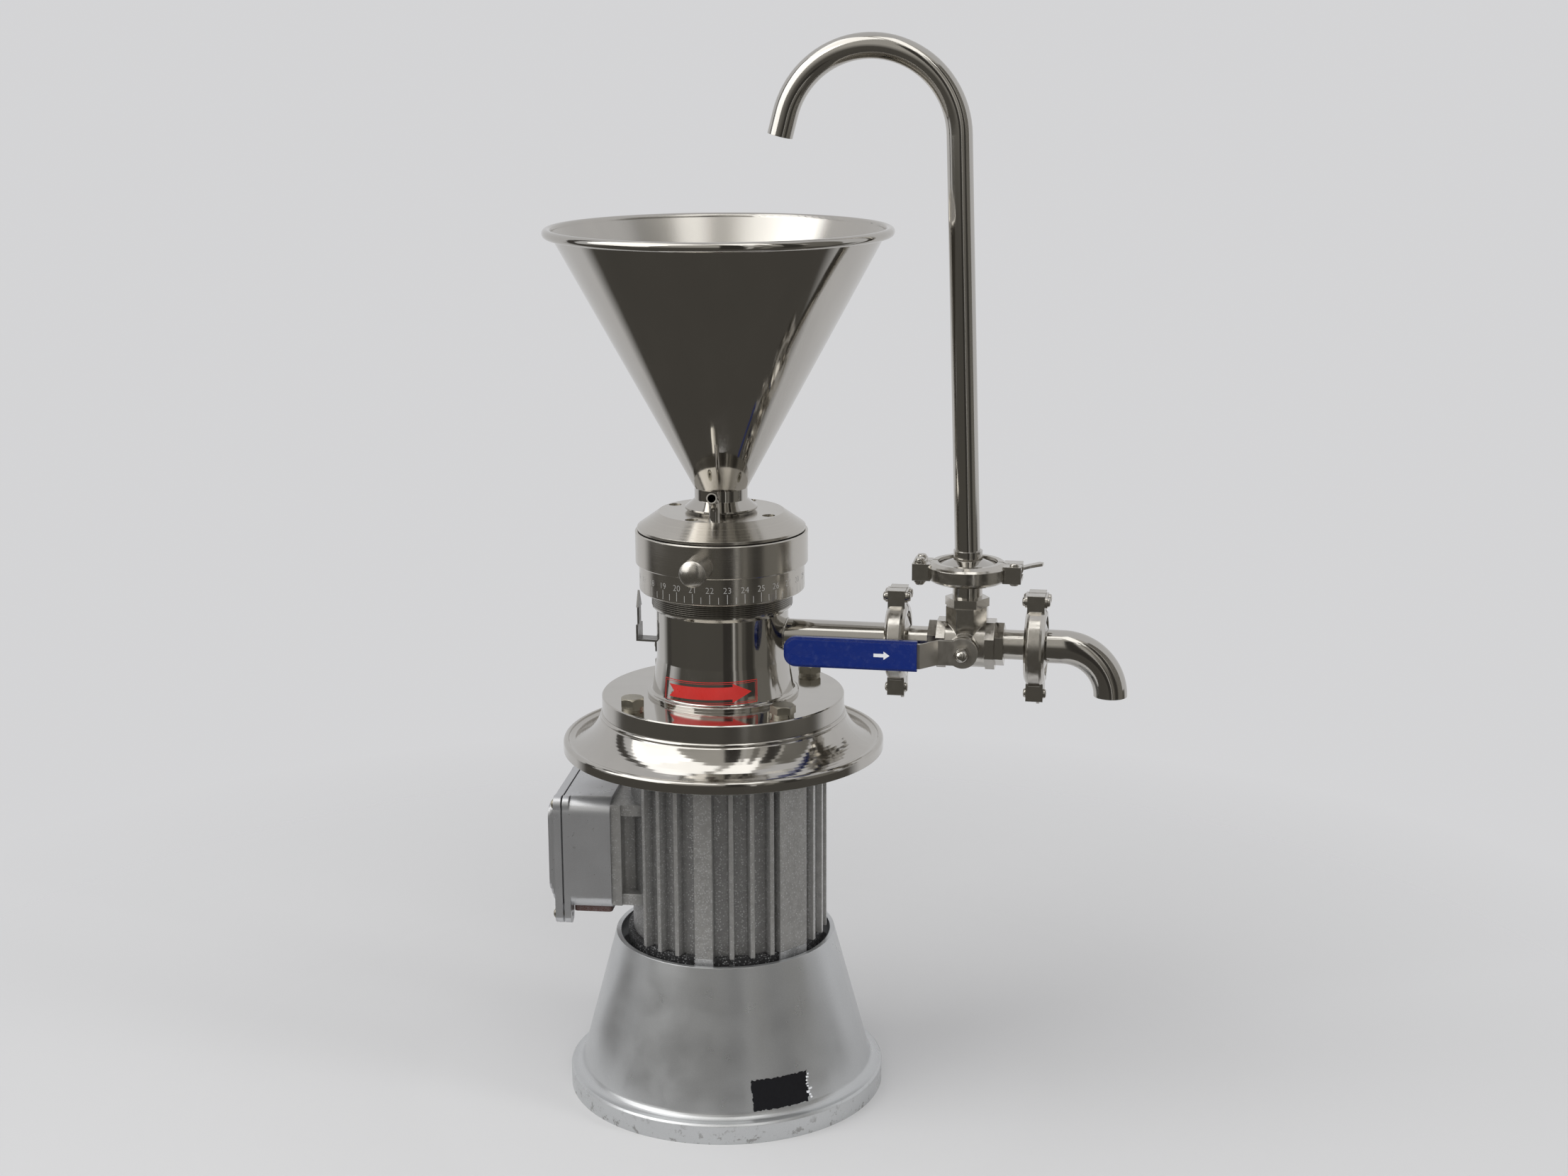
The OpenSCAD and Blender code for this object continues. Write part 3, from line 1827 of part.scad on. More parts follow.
module cover_screws() {
  socket = 5;
  socket_deep = 2.5;
  seat = cap_top - screw_head_h - screw_sunk;
  color("gray")
    at_cover_screws()
      difference() {
        union() {
          translate([0, 0, cap_z - screw_deep])
            cylinder(r = screw_r, h = seat - cap_z + screw_deep + past);
          translate([0, 0, seat])
            cylinder(r = screw_head_r, h = screw_head_h);
        }
        translate([0, 0, seat + screw_head_h - socket_deep])
          hexagon(socket, socket_deep + past);
      }
}

module cooling_pipes() {
  rise = 7;
  end = 7;
  riser = cool_deep + cover_t + rise;
  inner = cool_r - cool_wall;
  color("gainsboro")
    at_cooling_pipes()
      translate([0, 0, cap_z - cool_deep]) {
        tube(cool_r, inner, riser);
        translate([0, 0, riser]) {
          tube_bend(cool_r, inner, cool_bend_r, cool_bend);
          after_bend(cool_bend_r, cool_bend)
            tube(cool_r, inner, end);
        }
      }
}

module hopper() {
  flare = atan((rim_r - neck_r) / hopper_cone_h);
  outward = [cos(flare), -sin(flare)];
  lip_out = [rim_r, rim_z];
  lip_in = lip_out - hopper_wall * outward;
  bead_sink = 0.3;
  bead_c = lip_in + (bead_r - bead_sink) * outward;
  collar_z = cap_top + collar_gap;
  collar_foot = [1, 0.8];
  inner_rise = 2;
  color("gainsboro")
    rotate_extrude() {
      polygon([
        [throat_r, seat_z],
        [neck_r, seat_z],
        [neck_r, collar_z],
        [collar_r - collar_foot[0], collar_z],
        [collar_r, collar_z + collar_foot[1]],
        [collar_r, collar_z + collar_edge],
        [neck_r, collar_z + collar_rise],
        [neck_r, cone_z],
        lip_out,
        lip_in,
        [throat_r, cone_z + inner_rise]
      ]);
      translate(bead_c)
        circle(bead_r);
    }
}

module adjusting_ring() {
  edge = 0.8;
  step = 0.5;
  color("lightgray")
    difference() {
      turned([
        [ring_bore_r, ring_z],
        [dial_r - edge, ring_z],
        [dial_r, ring_z + edge],
        [dial_r, dial_top],
        [grip_r - step, dial_top],
        [grip_r, dial_top + edge],
        [grip_r, ring_top - edge],
        [grip_r - edge, ring_top],
        [lip_r, ring_top],
        [lip_r, ring_top - lip_t],
        [ring_bore_r, ring_top - lip_t]
      ]);
      for (side = [0, 180])
        rotate(side + handle_turn)
          translate([0, -stud_start, handle_z])
            towards_front()
              cylinder(r = handle_stud_r + fit_gap, h = grip_r);
    }
}

module ring_handles() {
  dome_h = 4;
  dome_r = (handle_r * handle_r + dome_h * dome_h) / (2 * dome_h);
  foot = 2;
  bar_len = handle_len + foot;
  color("gainsboro")
    for (side = [0, 180])
      rotate(side + handle_turn)
        translate([0, 0, handle_z]) {
          difference() {
            translate([0, -grip_r + foot, 0])
              towards_front()
                turned(concat(
                  [[0, 0], [handle_r, 0]],
                  arc([0, bar_len - dome_r], dome_r, acos(handle_r / dome_r), 90, 12)
                ));
            translate([0, 0, -2 * handle_r])
              cylinder(r = grip_r + fit_gap, h = 4 * handle_r);
          }
          translate([0, -stud_start - fit_gap, 0])
            towards_front()
              cylinder(r = handle_stud_r, h = grip_r - stud_start + 5);
        }
}

base_cone();
motor_frame();
lower_end_shield();
upper_end_shield();
stator_core();
stator_winding();
motor_bearings();
terminal_box();
terminal_box_cover();
terminal_box_gasket();
terminal_cover_screws();
terminal_block();
gland_plate();
drip_tray();
mill_housing();
housing_bolts();
housing_washers();
seal_seat();
outlet_pipe();
pointer();
pointer_screw();
inlet_clamp_front();
inlet_clamp_rear();
inlet_clamp_hardware();
inlet_wing_nut();
discharge_clamp_front();
discharge_clamp_rear();
discharge_clamp_hardware();
discharge_wing_nut();
return_clamp_front();
return_clamp_rear();
return_clamp_hardware();
return_wing_nut();
clamp_gaskets();
valve_body();
valve_inlet_end();
valve_outlet_end();
valve_return_end();
valve_seats();
valve_gland_nut();
discharge_elbow();
main_shaft();
motor_rotor();
cooling_fan();
seal_ring();
grinding_rotor();
rotor_cap_nut();
grinding_stator();
top_cover();
cover_screws();
cooling_pipes();
hopper();
adjusting_ring();
ring_handles();
valve_ball();
valve_stem();
valve_lever();
lever_grip();
lever_cap_nut();
return_pipe();
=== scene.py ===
"""Looks of the colloid mill: finishes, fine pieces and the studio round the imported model."""

import json
import logging
import math
import random
from collections.abc import Callable, Iterable
from dataclasses import dataclass, field
from enum import Enum

import bmesh
import bpy
from mathutils import Matrix, Vector


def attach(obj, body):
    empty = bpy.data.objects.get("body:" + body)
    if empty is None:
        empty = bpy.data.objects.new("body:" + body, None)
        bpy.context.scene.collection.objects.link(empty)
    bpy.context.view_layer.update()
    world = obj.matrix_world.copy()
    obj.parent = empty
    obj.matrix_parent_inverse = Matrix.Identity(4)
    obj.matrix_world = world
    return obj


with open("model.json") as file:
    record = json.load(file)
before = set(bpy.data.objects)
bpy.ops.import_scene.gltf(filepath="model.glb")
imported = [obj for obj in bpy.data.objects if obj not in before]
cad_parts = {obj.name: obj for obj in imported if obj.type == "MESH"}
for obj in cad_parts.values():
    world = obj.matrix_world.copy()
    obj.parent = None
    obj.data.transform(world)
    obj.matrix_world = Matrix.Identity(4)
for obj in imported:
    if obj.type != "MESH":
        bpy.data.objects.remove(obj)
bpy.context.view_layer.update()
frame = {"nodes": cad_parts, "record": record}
LOG = logging.getLogger("mill")
MM = 0.001
CUT_REACH = 1e-7
MERGE_REACH = 1e-6

Colour = tuple[float, float, float]
Point = tuple[float, float, float]
Pair = tuple[float, float]
Profile = tuple[Pair, ...]
Shape = bmesh.types.BMesh
Socket = bpy.types.NodeSocket
Feed = Socket | float | Colour


class Body(Enum):
    """Bodies that the new pieces ride on."""

    STAND = "stand"
    RING = "ring"
    VALVE = "valve"


def put(name: str, data: bpy.types.ID) -> bpy.types.Object:
    """Puts an object in the scene.

    Args:
        name: the object's name.
        data: its mesh, curve, lamp or camera.

    Returns:
        The object, at the origin.
    """
    item = bpy.data.objects.new(name, data)
    bpy.context.scene.collection.objects.link(item)
    return item


def mesh_data(name: str, mesh: Shape) -> bpy.types.Mesh:
    """Writes a bmesh to mesh data and frees it.

    Args:
        name: name of the mesh data.
        mesh: the bmesh.

    Returns:
        The mesh data.
    """
    data = bpy.data.meshes.new(name)
    mesh.to_mesh(data)
    mesh.free()
    return data


def join(group: Shape, mesh: Shape) -> None:
    """Moves a bmesh into a group and frees it."""
    group.from_mesh(mesh_data("joined", mesh))


def shape_of(curve: bpy.types.Curve) -> Shape:
    """Makes a mesh of a curve or a text.

    Args:
        curve: the curve or text.

    Returns:
        Its shape.
    """
    holder = put(curve.name, curve)
    evaluated = holder.evaluated_get(bpy.context.evaluated_depsgraph_get())
    mesh = bmesh.new()
    mesh.from_mesh(bpy.data.meshes.new_from_object(evaluated))
    bpy.data.objects.remove(holder)
    return mesh


def sweep(points: Iterable[Vector], angle: float, steps: int, rise: float = 0.0) -> Shape:
    """Spins a line of points about the mill's axis.

    Args:
        points: the line's points, in metres.
        angle: the whole turn in radians.
        steps: number of steps in the turn.
        rise: climb of each step, in metres.

    Returns:
        The swept sheet.
    """
    mesh = bmesh.new()
    verts = [mesh.verts.new(point) for point in points]
    edges = [mesh.edges.new(pair) for pair in zip(verts, verts[1:])]
    bmesh.ops.spin(mesh, geom=verts + edges, axis=(0, 0, 1), cent=(0, 0, 0), dvec=(0, 0, rise),
                   angle=angle, steps=steps)
    return mesh


def stand_up(mesh: Shape, height: float) -> None:
    """Turns a flat shape from X and Y to X and Z, facing -Y, and lifts it.

    Args:
        mesh: the shape.
        height: the lift in millimetres.
    """
    turn = Matrix.Rotation(math.radians(90), 3, "X")
    bmesh.ops.rotate(mesh, verts=mesh.verts, matrix=turn)
    bmesh.ops.translate(mesh, verts=mesh.verts, vec=(0, 0, height * MM))


def wrap(mesh: Shape, middle: float, radius: Callable[[float], float], proud: float) -> None:
    """Bends a flat sheet in X and Z round the mill's axis.

    Args:
        mesh: the sheet, with X along the arc and Z as height.
        middle: azimuth of X = 0, in degrees.
        radius: gives the surface's radius at a height.
        proud: how far the sheet stands off the surface; its own Y is added.
    """
    for vert in mesh.verts:
        at = radius(vert.co.z)
        turn = math.radians(middle) + vert.co.x / at
        out = at + proud - vert.co.y
        vert.co = Vector((out * math.cos(turn), out * math.sin(turn), vert.co.z))


def slice_across(mesh: Shape, low: float, high: float, step: float) -> None:
    """Cuts a flat sheet into strips across X, so that it can bend.

    Args:
        mesh: the sheet.
        low: first cut.
        high: last cut.
        step: distance between cuts.
    """
    at = low
    while at < high:
        everything = mesh.verts[:] + mesh.edges[:] + mesh.faces[:]
        bmesh.ops.bisect_plane(mesh, geom=everything, dist=CUT_REACH, plane_co=(at, 0, 0),
                               plane_no=(1, 0, 0))
        at += step


def flat_shape(mesh: Shape, corners: Iterable[Pair]) -> None:
    """Adds a flat face in X and Z, facing -Y.

    Args:
        mesh: the bmesh that takes it.
        corners: its corners, counter-clockwise as seen from -Y, in millimetres.
    """
    mesh.faces.new([mesh.verts.new((x * MM, 0.0, z * MM)) for x, z in corners])


class Graph:
    """Node tree of one material, built with few words."""

    def __init__(self, name: str) -> None:
        """Starts a material that holds one Principled shader.

        Args:
            name: the material's name.
        """
        self.material = bpy.data.materials.new(name)
        self.material.use_nodes = True
        self.nodes = self.material.node_tree.nodes
        self.links = self.material.node_tree.links
        self.shader = self.nodes["Principled BSDF"]
        self.place = self.nodes.new("ShaderNodeTexCoord").outputs["Object"]

    def set(self, **values: float) -> None:
        """Sets constant values on the shader's own sockets.

        Args:
            values: socket names in lower case with underscores, and their values.
        """
        for key, value in values.items():
            socket = key.replace("_", " ").title().replace("Ior", "IOR")
            self.shader.inputs[socket].default_value = value

    def feed(self, node: bpy.types.Node, key: str | int, value: Feed) -> None:
        """Links a socket to a node's input, or sets the input to a value.

        Args:
            node: the node that takes the value.
            key: name or number of its input.
            value: a socket, a number, a colour or a vector.
        """
        if isinstance(value, bpy.types.NodeSocket):
            self.links.new(value, node.inputs[key])
        elif isinstance(value, tuple):
            has_alpha = len(node.inputs[key].default_value) == 4
            node.inputs[key].default_value = (*value, 1.0) if has_alpha else value
        else:
            node.inputs[key].default_value = value

    def add(self, kind: str, inputs: dict[str | int, Feed],
            **settings: str | int) -> bpy.types.Node:
        """Adds a node.

        Args:
            kind: the end of Blender's name of the node.
            inputs: what each input takes, by its name or number.
            settings: the node's own settings.

        Returns:
            The node.
        """
        node = self.nodes.new(f"ShaderNode{kind}")
        for key, value in settings.items():
            setattr(node, key, value)
        for key, value in inputs.items():
            self.feed(node, key, value)
        return node

    def shade(self, key: str, value: Socket) -> None:
        """Links a socket to the shader's input of that name."""
        self.links.new(value, self.shader.inputs[key])

    def surface(self, node: bpy.types.Node) -> None:
        """Makes a node the material's surface in place of the shader."""
        self.links.new(node.outputs[0], self.nodes["Material Output"].inputs["Surface"])

    def dull(self, least: Socket) -> None:
        """Keeps the shader's roughness at or above a value."""
        polish = self.shader.inputs["Roughness"].links[0].from_socket
        self.shade("Roughness", self.maths("MAXIMUM", polish, least))

    def stretch(self, scale: Point, turn: Point = (0.0, 0.0, 0.0),
                shift: Point = (0.0, 0.0, 0.0)) -> Socket:
        """Object coordinates stretched, turned by radians and shifted, on each axis."""
        inputs = {"Vector": self.place, "Scale": scale, "Rotation": turn, "Location": shift}
        return self.add("Mapping", inputs).outputs["Vector"]

    def noise(self, scale: float, detail: float = 3.0, vector: Socket | None = None,
              rough: float = 0.5) -> Socket:
        """Noise from 0 to 1.

        Args:
            scale: cells to the metre.
            detail: octaves.
            vector: coordinates, or the object's own.
            rough: share of the finer octaves.

        Returns:
            The noise value.
        """
        inputs = {"Vector": vector or self.place, "Scale": scale, "Detail": detail,
                  "Roughness": rough}
        return self.add("TexNoise", inputs).outputs["Fac"]

    def lines(self, along: Socket, scale: float, detail: float = 2.0) -> Socket:
        """Irregular lines across one coordinate, with a scale in lines to the metre."""
        inputs = {"W": along, "Scale": scale, "Detail": detail}
        return self.add("TexNoise", inputs, noise_dimensions="1D").outputs["Fac"]

    def cells(self, scale: float, output: str = "Distance") -> Socket:
        """Cell pattern of so many cells to the metre, by the name of its output."""
        return self.add("TexVoronoi", {"Vector": self.place, "Scale": scale}).outputs[output]

    def maths(self, kind: str, a: Socket | float, b: Socket | float = 0.0) -> Socket:
        """Arithmetic on two values, by Blender's name of the operation."""
        return self.add("Math", {0: a, 1: b}, operation=kind).outputs[0]

    def span(self, value: Socket, low: float, high: float, to_low: float = 0.0,
             to_high: float = 1.0) -> Socket:
        """A value taken from one range to another and held at its ends.

        Args:
            value: the value.
            low: start of its range.
            high: end of its range.
            to_low: result at the start.
            to_high: result at the end.

        Returns:
            The result.
        """
        inputs = {"Value": value, "From Min": low, "From Max": high, "To Min": to_low,
                  "To Max": to_high}
        return self.add("MapRange", inputs).outputs["Result"]

    def spread(self, noise: Socket, low: float = 0.0, high: float = 1.0) -> Socket:
        """The middle range of a noise, where most of it lies, taken to two values."""
        return self.span(noise, 0.3, 0.7, low, high)

    def mix(self, share: Socket | float, a: Socket | Colour, b: Socket | Colour) -> Socket:
        """Mix of two colours, by the share of the second."""
        return self.add("Mix", {0: share, 6: a, 7: b}, data_type="RGBA").outputs[2]

    def axis(self, name: str) -> Socket:
        """One object coordinate, X, Y or Z."""
        return self.add("SeparateXYZ", {"Vector": self.place}).outputs[name]

    def radius(self, vector: Socket | None = None, keep: Point = (1.0, 1.0, 0.0)) -> Socket:
        """Distance from an axis, the mill's own if nothing else is given.

        Args:
            vector: coordinates, or the object's own.
            keep: 1 for each coordinate that counts, 0 along the axis.

        Returns:
            The distance.
        """
        flat = self.add("VectorMath", {0: vector or self.place, 1: keep}, operation="MULTIPLY")
        length = self.add("VectorMath", {0: flat.outputs["Vector"]}, operation="LENGTH")
        return length.outputs["Value"]

    def bump(self, height: Socket, depth: float, under: Socket | None = None) -> Socket:
        """Surface relief.

        Args:
            height: relief from 0 to 1.
            depth: its depth in millimetres.
            under: normal that it is added to.

        Returns:
            The new normal.
        """
        node = self.add("Bump", {"Height": height, "Strength": 1.0, "Distance": depth * MM})
        if under is not None:
            self.feed(node, "Normal", under)
        return node.outputs["Normal"]

    def soft_edges(self, size: float) -> Socket:
        """Normal with edges rounded by a radius in millimetres."""
        return self.add("Bevel", {"Radius": size * MM}, samples=4).outputs["Normal"]


@dataclass(frozen=True)
class Finish:
    """One finish of the mill."""

    name: str
    colour: Colour
    metallic: float = 0.0
    roughness: float = 0.5
    gloss: float = 0.5

    def build(self) -> bpy.types.Material:
        """Makes the finish's material.

        Returns:
            The material.
        """
        graph = Graph(self.name)
        graph.set(metallic=self.metallic, roughness=self.roughness, specular_ior_level=self.gloss)
        self.dress(graph)
        return graph.material

    def darker(self, share: float) -> Colour:
        """The finish's colour times a share."""
        return tuple(c * share for c in self.colour)

    def dress(self, graph: Graph) -> None:
        """Adds a mottled colour and a fine grain.

        Args:
            graph: the material's nodes.
        """
        graph.shade("Base Color", graph.mix(graph.noise(90.0), self.darker(0.8), self.colour))
        low, high = self.roughness * 0.85, min(1.0, self.roughness * 1.15)
        graph.shade("Roughness", graph.spread(graph.noise(260.0), low, high))
        graph.shade("Normal", graph.bump(graph.noise(900.0, 2.0), 0.02))


@dataclass(frozen=True)
class PolishedSteel(Finish):
    """Mirror-polished stainless steel with faint polishing haze and hand waviness."""

    metallic: float = 1.0
    roughness: float = 0.07
    haze: float = 0.07
    wave: float = 0.03
    cool_tint: Colour = (0.94, 0.955, 0.98)
    rubbed: Colour = (0.44, 0.425, 0.40)
    edge: float = 0.4

    def dress(self, graph: Graph) -> None:
        """Adds warm and cool patches, haze, scratches and waviness.

        Args:
            graph: the material's nodes.
        """
        cool = tuple(c * tint for c, tint in zip(self.colour, self.cool_tint))
        patches = graph.mix(graph.noise(14.0), self.colour, cool)
        worn = graph.noise(45.0, 3.0, graph.stretch((1.0, 1.0, 0.15)))
        rubbed = graph.mix(worn, patches, self.rubbed)
        graph.shade("Base Color", graph.mix(0.5, patches, rubbed))
        streaks = graph.noise(120.0, 4.0, graph.stretch((1.0, 1.0, 0.08)))
        scratches = graph.noise(1500.0, 2.0, graph.stretch((1.0, 1.0, 0.02)))
        haze = graph.maths("MULTIPLY", streaks, scratches)
        hazy = self.roughness + self.haze
        graph.shade("Roughness", graph.span(haze, 0.12, 0.45, self.roughness, hazy))
        edges = graph.soft_edges(self.edge)
        graph.shade("Normal", graph.bump(graph.noise(22.0, 1.0), self.wave, edges))


@dataclass(frozen=True)
class HousingSteel(PolishedSteel):
    """Polished housing whose flange keeps its turned side."""

    side_from: float = 0.0934
    side_full: float = 0.0938
    side_roughness: float = 0.2

    def dress(self, graph: Graph) -> None:
        """Adds the polish and dulls the flange's side.

        Args:
            graph: the material's nodes.
        """
        super().dress(graph)
        radius = graph.radius()
        graph.dull(graph.span(radius, self.side_from, self.side_full, 0.0, self.side_roughness))


@dataclass(frozen=True)
class HopperSteel(PolishedSteel):
    """Hopper sheet, polished outside and brushed inside."""

    cone_low: Pair = (0.0203, 0.4838)
    cone_top: Pair = (0.1258, 0.6778)
    skin: float = 0.0005
    inside_roughness: float = 0.26

    def dress(self, graph: Graph) -> None:
        """Adds the polish and dulls the inside of the cone.

        Args:
            graph: the material's nodes.
        """
        super().dress(graph)
        (low_r, low_z), (top_r, top_z) = self.cone_low, self.cone_top
        sheet = graph.span(graph.axis("Z"), low_z, top_z, low_r, top_r)
        depth = graph.maths("SUBTRACT", sheet, graph.radius())
        graph.dull(graph.span(depth, self.skin, 2 * self.skin, 0.0, self.inside_roughness))


@dataclass(frozen=True)
class TurnedSteel(Finish):
    """Steel with fine lathe lines round the mill's axis."""

    metallic: float = 1.0
    roughness: float = 0.16
    line_depth: float = 0.004
    edge: float = 0.5
    height_share: float = 0.83

    def along(self, graph: Graph) -> Socket:
        """Coordinate that runs across the lathe lines, on faces and on sides."""
        height = graph.maths("MULTIPLY", graph.axis("Z"), self.height_share)
        return graph.maths("ADD", graph.radius(), height)

    def dress(self, graph: Graph) -> None:
        """Adds lathe lines, haze and soft edges.

        Args:
            graph: the material's nodes.
        """
        fine = graph.lines(self.along(graph), 1900.0, 3.0)
        graph.shade("Base Color", graph.mix(fine, self.darker(0.9), self.colour))
        haze = graph.spread(graph.noise(30.0), self.roughness, self.roughness + 0.06)
        graph.shade("Roughness", graph.maths("ADD", graph.spread(fine, -0.04, 0.05), haze))
        graph.shade("Normal", graph.bump(fine, self.line_depth, graph.soft_edges(self.edge)))


@dataclass(frozen=True)
class HandleSteel(TurnedSteel):
    """Bars turned about their own axis, which lies across the mill."""

    axis_z: float = 0.436
    axis_turn: float = -2.0

    def along(self, graph: Graph) -> Socket:
        """Distance from the bars' axis.

        Args:
            graph: the material's nodes.

        Returns:
            The distance.
        """
        turn = (0.0, 0.0, -math.radians(self.axis_turn))
        square = graph.stretch((1.0, 1.0, 1.0), turn, (0.0, 0.0, -self.axis_z))
        return graph.radius(square, (1.0, 0.0, 1.0))


@dataclass(frozen=True)
class ThreadSteel(Finish):
    """Thread: bright on the crests, with painted shade darkening the grooves."""

    metallic: float = 1.0
    roughness: float = 0.3
    root: float = 0.05402
    crest: float = 0.05427
    # Tone of the painted shade in the grooves.
    groove: Colour = (0.03, 0.026, 0.022)

    def dress(self, graph: Graph) -> None:
        """Paints shade into the grooves.

        Args:
            graph: the material's nodes.
        """
        rise = graph.span(graph.radius(), self.root, self.crest)
        patches = graph.mix(graph.noise(60.0), self.darker(0.6), self.colour)
        # Painted shade: the colour darkens almost to black in the grooves, below the crests.
        graph.shade("Base Color", graph.mix(rise, self.groove, patches))
        graph.shade("Normal", graph.bump(graph.noise(500.0), 0.01))


@dataclass(frozen=True)
class CastSteel(Finish):
    """Tumbled castings and machined fittings: bright, with small dents and rounded edges."""

    metallic: float = 1.0
    roughness: float = 0.14
    patchy: float = 0.14
    dent: float = 0.05
    edge: float = 0.7

    def dress(self, graph: Graph) -> None:
        """Adds a dented surface, dull patches and round edges.

        Args:
            graph: the material's nodes.
        """
        graph.shade("Base Color", graph.mix(graph.noise(160.0), self.darker(0.86), self.colour))
        patches, dull = graph.noise(240.0, 4.0), self.roughness + self.patchy
        graph.shade("Roughness", graph.span(patches, 0.35, 0.7, self.roughness, dull))
        soft = graph.bump(graph.noise(190.0, 2.0), self.dent, graph.soft_edges(self.edge))
        graph.shade("Normal", graph.bump(graph.noise(1400.0, 2.0), 0.006, soft))


@dataclass(frozen=True)
class SilverPaint(Finish):
    """Smooth silver paint with fine flake, orange peel and scuffs on the foot's rim."""

    metallic: float = 0.75
    roughness: float = 0.34
    scuffs: bool = True
    flake: Colour = (0.86, 0.87, 0.88)
    primer: Colour = (0.20, 0.19, 0.18)
    rim_from: float = 0.1205
    rim_full: float = 0.1252
    rim_top: float = 0.020
    rim_low: float = 0.004
    edge: float = 0.8

    def wear(self, graph: Graph) -> Socket:
        """Worn places: scuffs on the foot's rim, or else small specks anywhere.

        Args:
            graph: the material's nodes.

        Returns:
            The wear from 0 to 1.
        """
        if not self.scuffs:
            return graph.span(graph.noise(210.0, 5.0, rough=0.62), 0.66, 0.7)
        rim = graph.span(graph.radius(), self.rim_from, self.rim_full)
        low = graph.span(graph.axis("Z"), self.rim_top, self.rim_low)
        worn = graph.span(graph.noise(150.0, 5.0, rough=0.7), 0.57, 0.63)
        return graph.maths("MULTIPLY", graph.maths("MULTIPLY", rim, low), worn)

    def dress(self, graph: Graph) -> None:
        """Adds flake, a cloudy coat and worn places.

        Args:
            graph: the material's nodes.
        """
        cloudy = graph.mix(graph.noise(16.0, 2.0), self.darker(0.9), self.colour)
        flakes = graph.span(graph.cells(2600.0, "Color"), 0.2, 0.95, 0.0, 0.16)
        coat = graph.mix(flakes, cloudy, self.flake)
        wear = self.wear(graph)
        graph.shade("Base Color", graph.mix(graph.maths("MULTIPLY", wear, 0.6), coat, self.primer))
        rough = graph.spread(graph.noise(40.0), self.roughness - 0.03, self.roughness + 0.06)
        graph.shade("Roughness", graph.maths("ADD", rough, graph.maths("MULTIPLY", wear, 0.25)))
        soft = graph.bump(graph.noise(420.0, 2.0), 0.022, graph.soft_edges(self.edge))
        graph.shade("Normal", graph.bump(graph.noise(2200.0, 1.0), 0.004, soft))


@dataclass(frozen=True)
class CastPaint(Finish):
    """Silver paint over a rough sand casting, with sparkle, and painted shade that darkens the
    hollows.
    """

    metallic: float = 0.7
    roughness: float = 0.4
    # How strongly painted shade darkens the hollows, between two radii, towards a dark tone.
    dirt: float = 0.8
    dirt_from: float = 0.0735
    dirt_to: float = 0.0790
    grit: Colour = (0.12, 0.12, 0.125)
    sparkle: Colour = (0.90, 0.91, 0.92)
    crest_from: float = 0.0765
    crest_full: float = 0.0782
    edge: float = 1.0

    def dress(self, graph: Graph) -> None:
        """Adds sand grain, sparkle and painted shade in the hollows; the crests stay smoother.

        Args:
            graph: the material's nodes.
        """
        grain = graph.noise(620.0, 4.0, rough=0.65)
        lumps = graph.noise(190.0, 3.0)
        radius = graph.radius()
        dots = graph.maths("MULTIPLY", graph.span(graph.cells(640.0), 0.12, 0.5, 0.7, 0.0),
                           graph.span(graph.cells(640.0, "Color"), 0.35, 0.75))
        base = graph.mix(graph.spread(lumps), self.darker(0.84), self.colour)
        # Painted shade: below a radius the colour darkens towards a dark tone in the hollows
        # between the fins.
        hollow_shade_mask = graph.span(radius, self.dirt_from, self.dirt_to, self.dirt, 0.0)
        shaded = graph.mix(hollow_shade_mask, base, self.grit)
        graph.shade("Base Color", graph.mix(dots, shaded, self.sparkle))
        graph.shade("Roughness", graph.spread(grain, self.roughness - 0.1, self.roughness + 0.12))
        crests = graph.span(radius, self.crest_from, self.crest_full, 1.0, 0.5)
        soft = graph.bump(lumps, 0.4, graph.soft_edges(self.edge))
        graph.shade("Normal", graph.bump(graph.maths("MULTIPLY", grain, crests), 0.6, soft))


@dataclass(frozen=True)
class Vinyl(Finish):
    """Dipped vinyl with a wet gloss."""

    roughness: float = 0.24
    coat: float = 0.2
    coat_roughness: float = 0.12
    dust: Colour = (0.20, 0.24, 0.40)
    edge: float = 1.2

    def dress(self, graph: Graph) -> None:
        """Adds soft swells, dust and a clear skin.

        Args:
            graph: the material's nodes.
        """
        graph.set(coat_weight=self.coat, coat_roughness=self.coat_roughness)
        dusty = graph.span(graph.noise(300.0, 4.0), 0.55, 0.8, 0.0, 0.10)
        graph.shade("Base Color", graph.mix(dusty, self.colour, self.dust))
        rough = graph.spread(graph.noise(120.0), self.roughness - 0.05, self.roughness + 0.1)
        graph.shade("Roughness", rough)
        edges = graph.soft_edges(self.edge)
        graph.shade("Normal", graph.bump(graph.noise(130.0, 1.0), 0.06, edges))


@dataclass(frozen=True)
class Laminated(Finish):
    """Stacked sheets or wire turns seen as lines along the motor's axis."""

    metallic: float = 0.6
    pitch: float = 0.7

    def dress(self, graph: Graph) -> None:
        """Adds the stack's lines.

        Args:
            graph: the material's nodes.
        """
        stack = graph.lines(graph.axis("Z"), 1.0 / (self.pitch * MM))
        graph.shade("Base Color", graph.mix(stack, self.darker(0.6), self.colour))
        graph.shade("Normal", graph.bump(stack, 0.1))


